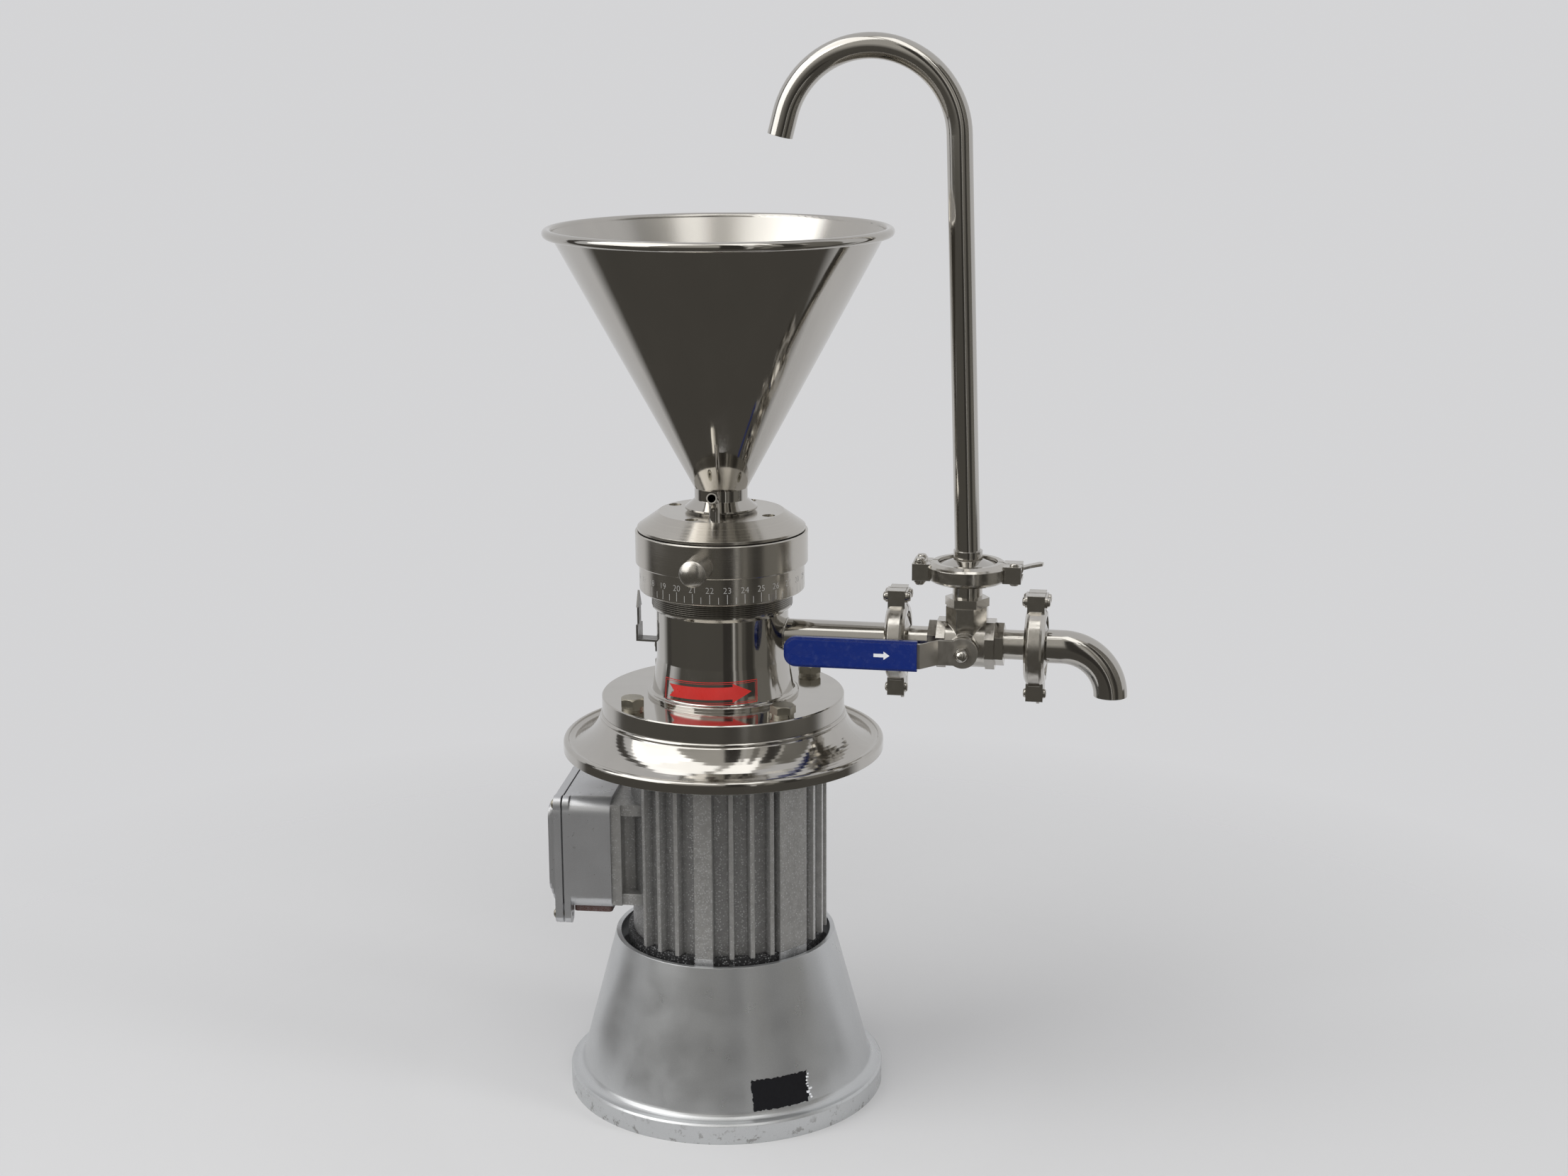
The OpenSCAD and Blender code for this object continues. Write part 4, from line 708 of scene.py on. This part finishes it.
class Palette:
    """Finishes of the mill and the nodes that wear them."""

    FINISHES: tuple[Finish, ...] = (
        PolishedSteel("polished_steel", (0.60, 0.575, 0.53)),
        HopperSteel("hopper_steel", (0.58, 0.555, 0.51), roughness=0.05, haze=0.06, wave=0.05),
        HousingSteel("housing_steel", (0.60, 0.575, 0.53)),
        HandleSteel("handle_steel", (0.60, 0.575, 0.53), roughness=0.24, line_depth=0.012),
        TurnedSteel("turned_steel", (0.59, 0.565, 0.52)),
        CastSteel("cast_steel", (0.64, 0.615, 0.57), roughness=0.12),
        CastSteel("fitting_steel", (0.64, 0.615, 0.57), roughness=0.09, dent=0.02, edge=0.4),
        CastSteel("lever_steel", (0.62, 0.595, 0.55), roughness=0.36, dent=0.02, edge=0.4),
        CastSteel("bolt_steel", (0.42, 0.395, 0.33), roughness=0.34, dent=0.03, edge=0.4),
        CastSteel("dark_strip", (0.30, 0.295, 0.285), roughness=0.3, dent=0.03, edge=0.2),
        CastSteel("shaft_steel", (0.60, 0.60, 0.61), roughness=0.2, dent=0.01, edge=0.3),
        SilverPaint("base_paint", (0.60, 0.61, 0.615), metallic=0.85, roughness=0.3),
        SilverPaint("box_paint", (0.56, 0.565, 0.575), roughness=0.3, scuffs=False),
        # Painted shade darkens the motor's hollows between the fins, at about half strength.
        CastPaint("motor_paint", (0.56, 0.555, 0.54), metallic=0.8, dirt=0.45),
        # Painted shadow: the shield's ring below the fins is darkened nearly to black, standing in
        # for the shaded gap between motor and base.
        CastPaint("shield_shaded_paint", (0.60, 0.605, 0.61), dirt=0.93, dirt_from=0.0778,
                  grit=(0.03, 0.03, 0.031)),
        SilverPaint("gland_brown", (0.075, 0.022, 0.014), metallic=0.0, roughness=0.45,
                    scuffs=False),
        Vinyl("blue_vinyl", (0.003, 0.019, 0.160)),
        Finish("white_ptfe", (0.86, 0.86, 0.84), roughness=0.45),
        Finish("dark_rubber", (0.04, 0.04, 0.042), roughness=0.7),
        Laminated("laminations", (0.30, 0.30, 0.31)),
        Laminated("winding_enamel", (0.42, 0.15, 0.06), metallic=0.4, roughness=0.35, pitch=1.1),
        Finish("fan_plastic", (0.09, 0.09, 0.095), roughness=0.55),
        Finish("terminal_resin", (0.78, 0.74, 0.62)),
        Finish("seal_carbon", (0.10, 0.10, 0.11), roughness=0.3),
        CastSteel("grinding_steel", (0.55, 0.55, 0.56), roughness=0.25, dent=0.01, edge=0.2),
        Finish("engraved_line", (0.44, 0.43, 0.41)),
        # Thread finish with painted shade darkening its grooves.
        ThreadSteel("shaded_thread", (0.36, 0.34, 0.30)),
        Finish("red_print", (0.60, 0.024, 0.018), roughness=0.32),
        Finish("white_print", (0.85, 0.86, 0.88), roughness=0.4),
        Finish("black_tape", (0.007, 0.007, 0.009), roughness=0.62, gloss=0.2),
        Finish("bare_iron", (0.10, 0.085, 0.075), roughness=0.7),
    )
    SAME_LOOK: dict[str, str] = {"pointer_steel": "dark_strip", "bearing_steel": "shaft_steel"}
    OWN_LOOK: dict[str, str] = {
        "hopper": "hopper_steel",
        "mill_housing": "housing_steel",
        "ring_handles": "handle_steel",
        "terminal_box": "box_paint",
        "terminal_box_cover": "box_paint",
        # The lower end shield wears the finish with a painted shadow on its ring under the fins.
        "lower_end_shield": "shield_shaded_paint",
        "valve_lever": "lever_steel",
    }

    def __init__(self) -> None:
        """Makes every material once."""
        self.materials = {finish.name: finish.build() for finish in self.FINISHES}
        for slot, look in self.SAME_LOOK.items():
            self.materials[slot] = self.materials[look]

    def dress_nodes(self) -> None:
        """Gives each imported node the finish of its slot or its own."""
        slots = {row["node"]: row["material_slot"] for row in frame["record"]["subparts"]}
        for name, node in frame["nodes"].items():
            material = self.materials[self.OWN_LOOK.get(name, slots[name])]
            node.data.materials.clear()
            node.data.materials.append(material)
        LOG.info("dressed %d nodes", len(frame["nodes"]))

    def finish_piece(self, name: str, mesh: Shape, body: Body, look: str,
                     smooth: bool = False) -> None:
        """Turns a bmesh into a dressed piece that rides on a body.

        Args:
            name: the piece's name.
            mesh: its shape in the row frame, in metres.
            body: the body it rides on.
            look: name of its finish.
            smooth: whether its faces are shaded smooth.
        """
        for face in mesh.faces:
            face.smooth = smooth
        data = mesh_data(name, mesh)
        data.materials.append(self.materials[look])
        piece = put(name, data)
        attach(piece, body.value)
        LOG.info("%s: %d faces", name, len(data.polygons))


@dataclass(frozen=True)
class Cone:
    """Cone round the mill's axis through two points of radius and height, in millimetres."""

    low: Pair
    top: Pair

    def radius(self, z: float) -> float:
        """Radius of the cone at a height, both in metres."""
        share = (z / MM - self.low[1]) / (self.top[1] - self.low[1])
        return (self.low[0] + share * (self.top[0] - self.low[0])) * MM


@dataclass
class DialMarks:
    """Numbers and ticks engraved round the adjusting ring, in millimetres."""

    radius: float = 63.4
    count: int = 30
    first_turn: float = 9.6
    tick_low: float = 407.3
    long_tick: float = 7.2
    short_tick: float = 5.0
    tick_width: float = 0.42
    number_low: float = 415.3
    number_size: float = 6.7
    number_trim: float = -0.11
    number_steps: int = 3
    proud: float = 0.02

    def ticks(self) -> Shape:
        """Long ticks under the numbers and short ones between them.

        Returns:
            The ticks as one bmesh.
        """
        mesh = bmesh.new()
        for k in range(2 * self.count):
            height = self.short_tick if k % 2 else self.long_tick
            degrees = self.first_turn + k * 180.0 / self.count
            turn = Matrix.Rotation(math.radians(degrees), 4, "Z")
            place = Matrix.Translation((self.radius * MM, 0, (self.tick_low + height / 2) * MM))
            size = Matrix.Diagonal((2 * self.proud * MM, self.tick_width * MM, height * MM, 1.0))
            bmesh.ops.create_cube(mesh, size=1.0, matrix=turn @ place @ size)
        return mesh

    def number(self, value: int) -> Shape:
        """One number as a flat shape.

        Args:
            value: the number.

        Returns:
            The shape, in X and Y.
        """
        curve = bpy.data.curves.new("number", "FONT")
        curve.body = str(value)
        curve.align_x = "CENTER"
        curve.size = self.number_size * MM
        curve.offset = self.number_trim * MM
        curve.resolution_u = self.number_steps
        return shape_of(curve)

    def numbers(self) -> Shape:
        """All numbers, bent round the dial.

        Returns:
            The numbers as one bmesh.
        """
        ring = bmesh.new()
        for value in range(self.count):
            mesh = self.number(value)
            stand_up(mesh, self.number_low)
            degrees = self.first_turn + value * 360.0 / self.count
            wrap(mesh, degrees, lambda z: self.radius * MM, self.proud * MM)
            join(ring, mesh)
        bmesh.ops.recalc_face_normals(ring, faces=ring.faces)
        return ring

    def build(self, palette: Palette) -> None:
        """Adds the marks to the ring.

        Args:
            palette: the finishes.
        """
        for name, mesh in (("dial_ticks", self.ticks()), ("dial_numbers", self.numbers())):
            palette.finish_piece(name, mesh, Body.RING, "engraved_line")


@dataclass
class ThreadTurns:
    """Turns of the adjusting thread that show under the ring, in millimetres."""

    root: float = 53.98
    crest: float = 54.27
    low: float = 392.6
    pitch: float = 1.5
    crest_from: float = 0.42
    crest_to: float = 0.62
    turns: int = 12
    steps: int = 96

    def build(self, palette: Palette) -> None:
        """Spins one tooth up the neck.

        Args:
            palette: the finishes.
        """
        tooth = ((self.root, 0.0), (self.crest, self.crest_from), (self.crest, self.crest_to),
                 (self.root, 1.0))
        points = [Vector((r * MM, 0, (self.low + share * self.pitch) * MM)) for r, share in tooth]
        mesh = sweep(points, math.tau * self.turns, self.steps * self.turns,
                     self.pitch * MM / self.steps)
        bmesh.ops.remove_doubles(mesh, verts=mesh.verts, dist=MERGE_REACH)
        bmesh.ops.recalc_face_normals(mesh, faces=mesh.faces)
        # The thread wears the finish with painted shade in its grooves.
        palette.finish_piece("thread_turns", mesh, Body.STAND, "shaded_thread",
                             True)


@dataclass
class TurnLabel:
    """Red arrow in a thin double frame on the housing's flared foot, in millimetres."""

    middle_turn: float = -91.2
    middle_z: float = 334.9
    tilt: float = 1.6
    width: float = 78.0
    height: float = 16.6
    flare: Cone = Cone((54.7, 327.1), (51.0, 352.1))
    proud: float = 0.06
    strip_width: float = 2.5
    arrow: Profile = (
        (-34.0, -4.7), (19.5, -4.7), (19.5, -7.2), (34.5, 0.0), (19.5, 7.2), (19.5, 4.7),
        (-34.0, 4.7), (-29.0, 0.0),
    )
    frame_lines: Profile = ((0.0, 0.55), (1.3, 0.28))

    def outline(self, mesh: Shape, inset: float, line: float) -> None:
        """Adds one frame line as four thin faces.

        Args:
            mesh: the bmesh that takes it.
            inset: distance of the line from the label's edge.
            line: width of the line.
        """
        x, z, half = self.width / 2 - inset, self.height / 2 - inset, line / 2
        for side in (-1, 1):
            low, high = side * z - half, side * z + half
            flat_shape(mesh, [(-x, low), (x, low), (x, high), (-x, high)])
            left, right = side * x - half, side * x + half
            flat_shape(mesh, [(left, -z), (right, -z), (right, z), (left, z)])

    def build(self, palette: Palette) -> None:
        """Prints the arrow and its frame.

        Args:
            palette: the finishes.
        """
        mesh = bmesh.new()
        flat_shape(mesh, self.arrow)
        for inset, line in self.frame_lines:
            self.outline(mesh, inset, line)
        end = self.width / 2 * MM
        slice_across(mesh, -end, end, self.strip_width * MM)
        turn = Matrix.Rotation(math.radians(-self.tilt), 3, "Y")
        bmesh.ops.rotate(mesh, verts=mesh.verts, matrix=turn)
        bmesh.ops.translate(mesh, verts=mesh.verts, vec=(0, 0, self.middle_z * MM))
        wrap(mesh, self.middle_turn, self.flare.radius, self.proud * MM)
        palette.finish_piece("turn_label", mesh, Body.STAND, "red_print")


@dataclass(frozen=True)
class TornSheet:
    """Flat sheet with torn edges, in millimetres; its right edge is the most ragged."""

    width: float
    low: float
    high: float
    tear: float
    across: int
    up: int
    ragged_from: float = 0.4
    ragged: float = 1.6
    neat: float = 0.5
    level: float = 0.6

    def cut(self, dice: random.Random) -> Shape:
        """Cuts the sheet.

        Args:
            dice: gives the depth of each tear.

        Returns:
            The sheet in X and Z.
        """
        mesh = bmesh.new()
        size = Matrix.Diagonal((self.width * MM / 2, (self.high - self.low) * MM / 2, 1.0, 1.0))
        bmesh.ops.create_grid(mesh, x_segments=self.across, y_segments=self.up, size=1.0,
                              matrix=size)
        for vert in mesh.verts:
            if vert.is_boundary:
                at_right = vert.co.x > self.ragged_from * self.width * MM
                share = self.ragged if at_right else self.neat
                vert.co.x += dice.uniform(-self.tear, self.tear) * MM * share
                vert.co.y += dice.uniform(-self.tear, self.tear) * MM * self.level
        stand_up(mesh, (self.low + self.high) / 2)
        return mesh


@dataclass
class BaseMarks:
    """Tape patch with its flecks, and paint chip, on the base, in millimetres."""

    cone: Cone = Cone((116.4, 16.0), (86.6, 127.0))
    tape_turn: float = -56.2
    tape_thick: float = 0.16
    tape_sheet: TornSheet = TornSheet(46.5, 21.5, 44.0, 1.0, 40, 18)
    fleck_count: int = 9
    fleck_width: Pair = (1.2, 3.4)
    fleck_height: Pair = (0.7, 1.8)
    fleck_out: Pair = (-0.6, 2.4)
    fleck_start: float = 1.5
    fleck_step: float = 2.2
    fleck_tear: float = 0.35
    fleck_faces: tuple[int, int] = (5, 4)
    fleck_radius: float = 112.0
    fleck_lift: float = 1.5
    chip_turn: float = -178.0
    chip_radius: float = 125.0
    chip_proud: float = 0.03
    chip_sheet: TornSheet = TornSheet(6.5, 11.2, 14.2, 0.7, 10, 6)
    seed: int = 7
    dice: random.Random = field(init=False)

    def __post_init__(self) -> None:
        """Seeds the torn edges."""
        self.dice = random.Random(self.seed)

    def tape(self) -> Shape:
        """Black tape stuck on the cone.

        Returns:
            The tape.
        """
        mesh = self.tape_sheet.cut(self.dice)
        wrap(mesh, self.tape_turn, self.cone.radius, self.tape_thick * MM)
        return mesh

    def flecks(self) -> Shape:
        """Pale torn flecks at the tape's right edge.

        Returns:
            The flecks as one bmesh.
        """
        group = bmesh.new()
        for k in range(self.fleck_count):
            width = self.dice.uniform(*self.fleck_width)
            low = self.tape_sheet.low + self.fleck_start + self.fleck_step * k
            high = low + self.dice.uniform(*self.fleck_height)
            mesh = TornSheet(width, low, high, self.fleck_tear, *self.fleck_faces).cut(self.dice)
            out = self.tape_sheet.width / 2 + self.dice.uniform(*self.fleck_out)
            turn = self.tape_turn + math.degrees(out / self.fleck_radius)
            wrap(mesh, turn, self.cone.radius, self.fleck_lift * self.tape_thick * MM)
            join(group, mesh)
        return group

    def chip(self) -> Shape:
        """Chipped paint at the foot's edge.

        Returns:
            The chip.
        """
        mesh = self.chip_sheet.cut(self.dice)
        wrap(mesh, self.chip_turn, lambda z: self.chip_radius * MM, self.chip_proud * MM)
        return mesh

    def build(self, palette: Palette) -> None:
        """Adds the tape, its torn flecks and the chip.

        Args:
            palette: the finishes.
        """
        for name, make, look, slot in (
            ("tape_patch", self.tape, "black_tape", "dark_rubber"),
            ("tape_flecks", self.flecks, "white_print", "base_paint"),
            ("paint_chip", self.chip, "bare_iron", "base_paint"),
        ):
            mesh = make()
            bmesh.ops.recalc_face_normals(mesh, faces=mesh.faces)
            palette.finish_piece(name, mesh, Body.STAND, look)


@dataclass
class OutletWeld:
    """Weld bead where the outlet pipe meets the housing, in millimetres."""

    pipe_radius: float = 12.7
    body_radius: float = 51.0
    height: float = 369.5
    bead: float = 0.8
    bead_steps: int = 3
    off_pipe: float = 0.1
    off_body: float = 0.2
    ripple: float = 0.12
    ripples: int = 31
    points: int = 96

    def build(self, palette: Palette) -> None:
        """Runs a round bead along the saddle where pipe and body meet.

        Args:
            palette: the finishes.
        """
        curve = bpy.data.curves.new("outlet_weld", "CURVE")
        curve.dimensions = "3D"
        curve.bevel_depth = self.bead * MM
        curve.bevel_resolution = self.bead_steps
        spline = curve.splines.new("POLY")
        spline.use_cyclic_u = True
        spline.points.add(self.points - 1)
        reach = self.pipe_radius + self.off_pipe
        for k, point in enumerate(spline.points):
            turn = math.tau * k / self.points
            y, z = reach * math.cos(turn), reach * math.sin(turn)
            ripple = self.ripple * math.sin(turn * self.ripples)
            x = math.sqrt(self.body_radius ** 2 - y * y) + self.off_body + ripple
            point.co = (x * MM, y * MM, (self.height + z) * MM, 1.0)
        palette.finish_piece("outlet_weld", shape_of(curve), Body.STAND, "polished_steel",
                             True)


@dataclass
class GripArrow:
    """White arrow printed on the lever's grip, in millimetres."""

    place: Point = (131.0, -49.03, 369.8)
    arrow: Profile = (
        (-6.0, -1.3), (1.5, -1.3), (1.5, -3.2), (6.0, 0.0), (1.5, 3.2), (1.5, 1.3), (-6.0, 1.3),
    )

    def build(self, palette: Palette) -> None:
        """Prints the arrow.

        Args:
            palette: the finishes.
        """
        mesh = bmesh.new()
        flat_shape(mesh, self.arrow)
        bmesh.ops.translate(mesh, verts=mesh.verts, vec=[v * MM for v in self.place])
        palette.finish_piece("grip_arrow", mesh, Body.VALVE, "white_print")


@dataclass(frozen=True)
class Panel:
    """Upright strip before the mill that polished metal shows as a streak."""

    turn: float
    half: float
    tone: Colour
    profile: Profile = ((1.1, 0.015), (1.1, 1.9))


@dataclass(frozen=True)
class Lamp:
    """Soft rectangular lamp, in metres and watts; polished faces show it where it is mirrored."""

    name: str
    place: Point
    target: Point
    size: Pair
    power: float
    mirrored: bool = True

    def hang(self) -> None:
        """Hangs the lamp so that it faces its target."""
        data = bpy.data.lights.new(self.name, "AREA")
        data.shape = "RECTANGLE"
        data.size, data.size_y = self.size
        data.energy = self.power
        lamp = put(self.name, data)
        lamp.location = self.place
        facing = Vector(self.target) - Vector(self.place)
        lamp.rotation_euler = facing.to_track_quat("-Z", "Y").to_euler()
        lamp.visible_glossy = self.mirrored


@dataclass
class Studio:
    """Floor, light and camera."""

    camera_place: Point = (366.8, -1711.1, 831.0)
    camera_turn: float = 12.1
    yaw: float = 1.56
    pitch: float = 13.71
    roll: float = -0.22
    focal_px: float = 3300.0
    image_width: float = 2212.0
    sensor: float = 36.0
    clip_end: float = 60.0
    floor_tone: Colour = (0.70, 0.70, 0.70)
    floor_roughness: float = 0.9
    floor_radius: float = 2.6
    floor_sides: int = 96
    floor_full: float = 0.42
    floor_fade: float = 0.95
    backdrop: Colour = (0.66, 0.66, 0.67)
    fill: Colour = (0.46, 0.46, 0.47)
    carpet_tone: Colour = (0.085, 0.080, 0.072)
    room_tone: Colour = (0.095, 0.090, 0.080)
    roof_tone: Colour = (0.50, 0.485, 0.455)
    carpet_r: float = 0.75
    room_r: float = 1.4
    room_z: float = 0.4
    roof_z: float = 1.6
    card_steps: int = 32
    flag_turn: float = -8.0
    front: Profile = ((2.9, -0.2), (2.9, 1.2), (2.5, 2.3), (1.6, 2.9), (0.02, 3.1))
    front_half: float = 84.0
    front_fade: float = 0.8
    carpet: Profile = ((0.25, 0.012), (2.9, 0.012))
    carpet_half: float = 115.0
    carpet_fade: float = 0.88
    panels: tuple[Panel, ...] = (
        Panel(-104.0, 5.0, (0.07, 0.065, 0.06)),
        Panel(8.0, 7.5, (0.045, 0.042, 0.038)),
        Panel(19.0, 1.8, (0.55, 0.54, 0.52)),
        Panel(29.5, 3.0, (0.22, 0.21, 0.19)),
        Panel(46.0, 6.5, (0.05, 0.047, 0.042)),
        Panel(69.0, 13.0, (0.18, 0.172, 0.155)),
    )
    lamps: tuple[Lamp, ...] = (
        Lamp("window_left", (-1.9, -1.3, 1.6), (0.0, 0.0, 0.35), (2.2, 2.2), 23.0),
        Lamp("window_right", (2.2, -0.5, 1.3), (0.0, 0.0, 0.4), (0.5, 1.8), 12.0),
        Lamp("skylight_left", (-1.0, -0.75, 2.5), (0.0, 0.0, 0.4), (2.0, 1.7), 13.5),
        Lamp("skylight_right", (0.62, -0.75, 2.5), (0.0, 0.0, 0.4), (0.7, 1.7), 4.8),
        Lamp("front_fill", (0.6, -2.6, 1.2), (0.0, 0.0, 0.3), (2.0, 1.6), 18.0, mirrored=False),
    )

    def camera(self) -> None:
        """Stands the camera where the photograph was taken."""
        data = bpy.data.cameras.new("camera")
        data.sensor_width = self.sensor
        data.sensor_fit = "HORIZONTAL"
        data.lens = self.sensor * self.focal_px / self.image_width
        data.clip_end = self.clip_end
        p, y, r = (math.radians(v) for v in (self.pitch, self.yaw, self.roll))
        ahead = Vector((math.sin(y) * math.cos(p), math.cos(y) * math.cos(p), -math.sin(p)))
        right = Vector((math.cos(y), -math.sin(y), 0.0))
        up = right.cross(ahead)
        right, up = (math.cos(r) * right + math.sin(r) * up,
                     math.cos(r) * up - math.sin(r) * right)
        axes = Matrix((right, up, -ahead)).transposed().to_4x4()
        camera = put("camera", data)
        camera.matrix_world = (Matrix.Translation([v * MM for v in self.camera_place])
                               @ Matrix.Rotation(math.radians(self.camera_turn), 4, "Z") @ axes)
        bpy.context.scene.camera = camera

    def floor(self) -> None:
        """Lays a pale floor that fades into the surround."""
        mesh = bmesh.new()
        bmesh.ops.create_circle(mesh, cap_ends=True, segments=self.floor_sides,
                                radius=self.floor_radius)
        data = mesh_data("floor", mesh)
        graph = Graph("floor")
        graph.set(roughness=self.floor_roughness)
        graph.feed(graph.shader, "Base Color", self.floor_tone)
        clear = graph.add("BsdfTransparent", {})
        fade = graph.span(graph.radius(), self.floor_full, self.floor_fade)
        graph.surface(graph.add("MixShader", {0: fade, 1: graph.shader.outputs[0],
                                              2: clear.outputs[0]}))
        data.materials.append(graph.material)
        floor = put("floor", data)

    def world(self) -> None:
        """Surrounds the mill with a pale tone for the camera and the metal, and a weaker fill."""
        world = bpy.data.worlds.new("room")
        bpy.context.scene.world = world
        world.use_nodes = True
        nodes, links = world.node_tree.nodes, world.node_tree.links
        back = nodes["Background"]
        path = nodes.new("ShaderNodeLightPath")
        seen: Socket = path.outputs["Is Camera Ray"]
        for key in ("Is Glossy Ray", "Is Transmission Ray"):
            either = nodes.new("ShaderNodeMath")
            either.operation = "MAXIMUM"
            links.new(seen, either.inputs[0])
            links.new(path.outputs[key], either.inputs[1])
            seen = either.outputs[0]
        mix = nodes.new("ShaderNodeMix")
        mix.data_type = "RGBA"
        mix.inputs[6].default_value = (*self.fill, 1.0)
        mix.inputs[7].default_value = (*self.backdrop, 1.0)
        links.new(seen, mix.inputs[0])
        links.new(mix.outputs[2], back.inputs["Color"])
        back.inputs["Strength"].default_value = 1.0

    def card(self, graph: Graph, profile: Profile, turn: float, half: float,
             tone: Socket | Colour) -> None:
        """Sweeps a glowing card round the mill that only polished metal shows.

        Args:
            graph: its material's nodes, which also name it.
            profile: radius and height of the points that are swept round, in metres.
            turn: azimuth of its middle in degrees.
            half: half of its angle in degrees.
            tone: its colour.
        """
        start = Matrix.Rotation(math.radians(turn - half), 3, "Z")
        points = [start @ Vector((r, 0, z)) for r, z in profile]
        name = graph.material.name
        data = mesh_data(name, sweep(points, math.radians(2 * half), self.card_steps))
        graph.surface(graph.add("Emission", {"Color": tone}))
        data.materials.append(graph.material)
        card = put(name, data)
        card.visible_camera = False
        card.visible_diffuse = False
        card.visible_shadow = False

    def flag(self, name: str, profile: Profile, half: float, fade: float) -> None:
        """Sets up a dark card round the camera's side, darkest near the mill and paler above.

        Args:
            name: the card's name.
            profile: radius and height of the points that are swept round, in metres.
            half: half of its angle in degrees; its ends fade into the backdrop.
            fade: share of the half angle that keeps its full tone.
        """
        turn = self.camera_turn + self.flag_turn - 90.0
        middle = math.radians(turn)
        graph = Graph(name)
        ahead = graph.maths("ADD", graph.maths("MULTIPLY", graph.axis("X"), math.cos(middle)),
                            graph.maths("MULTIPLY", graph.axis("Y"), math.sin(middle)))
        facing = graph.maths("DIVIDE", ahead, graph.radius())
        ends = graph.span(facing, math.cos(math.radians(half)),
                          math.cos(math.radians(half * fade)))
        outward = graph.span(graph.radius(), self.carpet_r, self.room_r)
        low = graph.mix(outward, self.carpet_tone, self.room_tone)
        upward = graph.span(graph.axis("Z"), self.room_z, self.roof_z)
        tone = graph.mix(upward, low, self.roof_tone)
        self.card(graph, profile, turn, half, graph.mix(ends, self.backdrop, tone))

    def flags(self) -> None:
        """Sets up the curved card behind the camera, the dark carpet and the panels."""
        self.flag("flag_front", self.front, self.front_half, self.front_fade)
        self.flag("flag_carpet", self.carpet, self.carpet_half, self.carpet_fade)
        for k, panel in enumerate(self.panels):
            turn = self.camera_turn - 90.0 + panel.turn
            self.card(Graph(f"panel_{k}"), panel.profile, turn, panel.half, panel.tone)

    def build(self) -> None:
        """Sets up the whole studio."""
        self.camera()
        self.floor()
        self.world()
        self.flags()
        for lamp in self.lamps:
            lamp.hang()
        bpy.context.scene.view_settings.view_transform = "Standard"


def main() -> None:
    """Builds the studio, dresses the nodes and adds the fine pieces."""
    logging.basicConfig(level=logging.INFO, format="%(name)s %(message)s")
    Studio().build()
    palette = Palette()
    palette.dress_nodes()
    for part in (DialMarks(), ThreadTurns(), TurnLabel(), BaseMarks(), OutletWeld(), GripArrow()):
        part.build(palette)


if __name__ == "__main__":
    main()
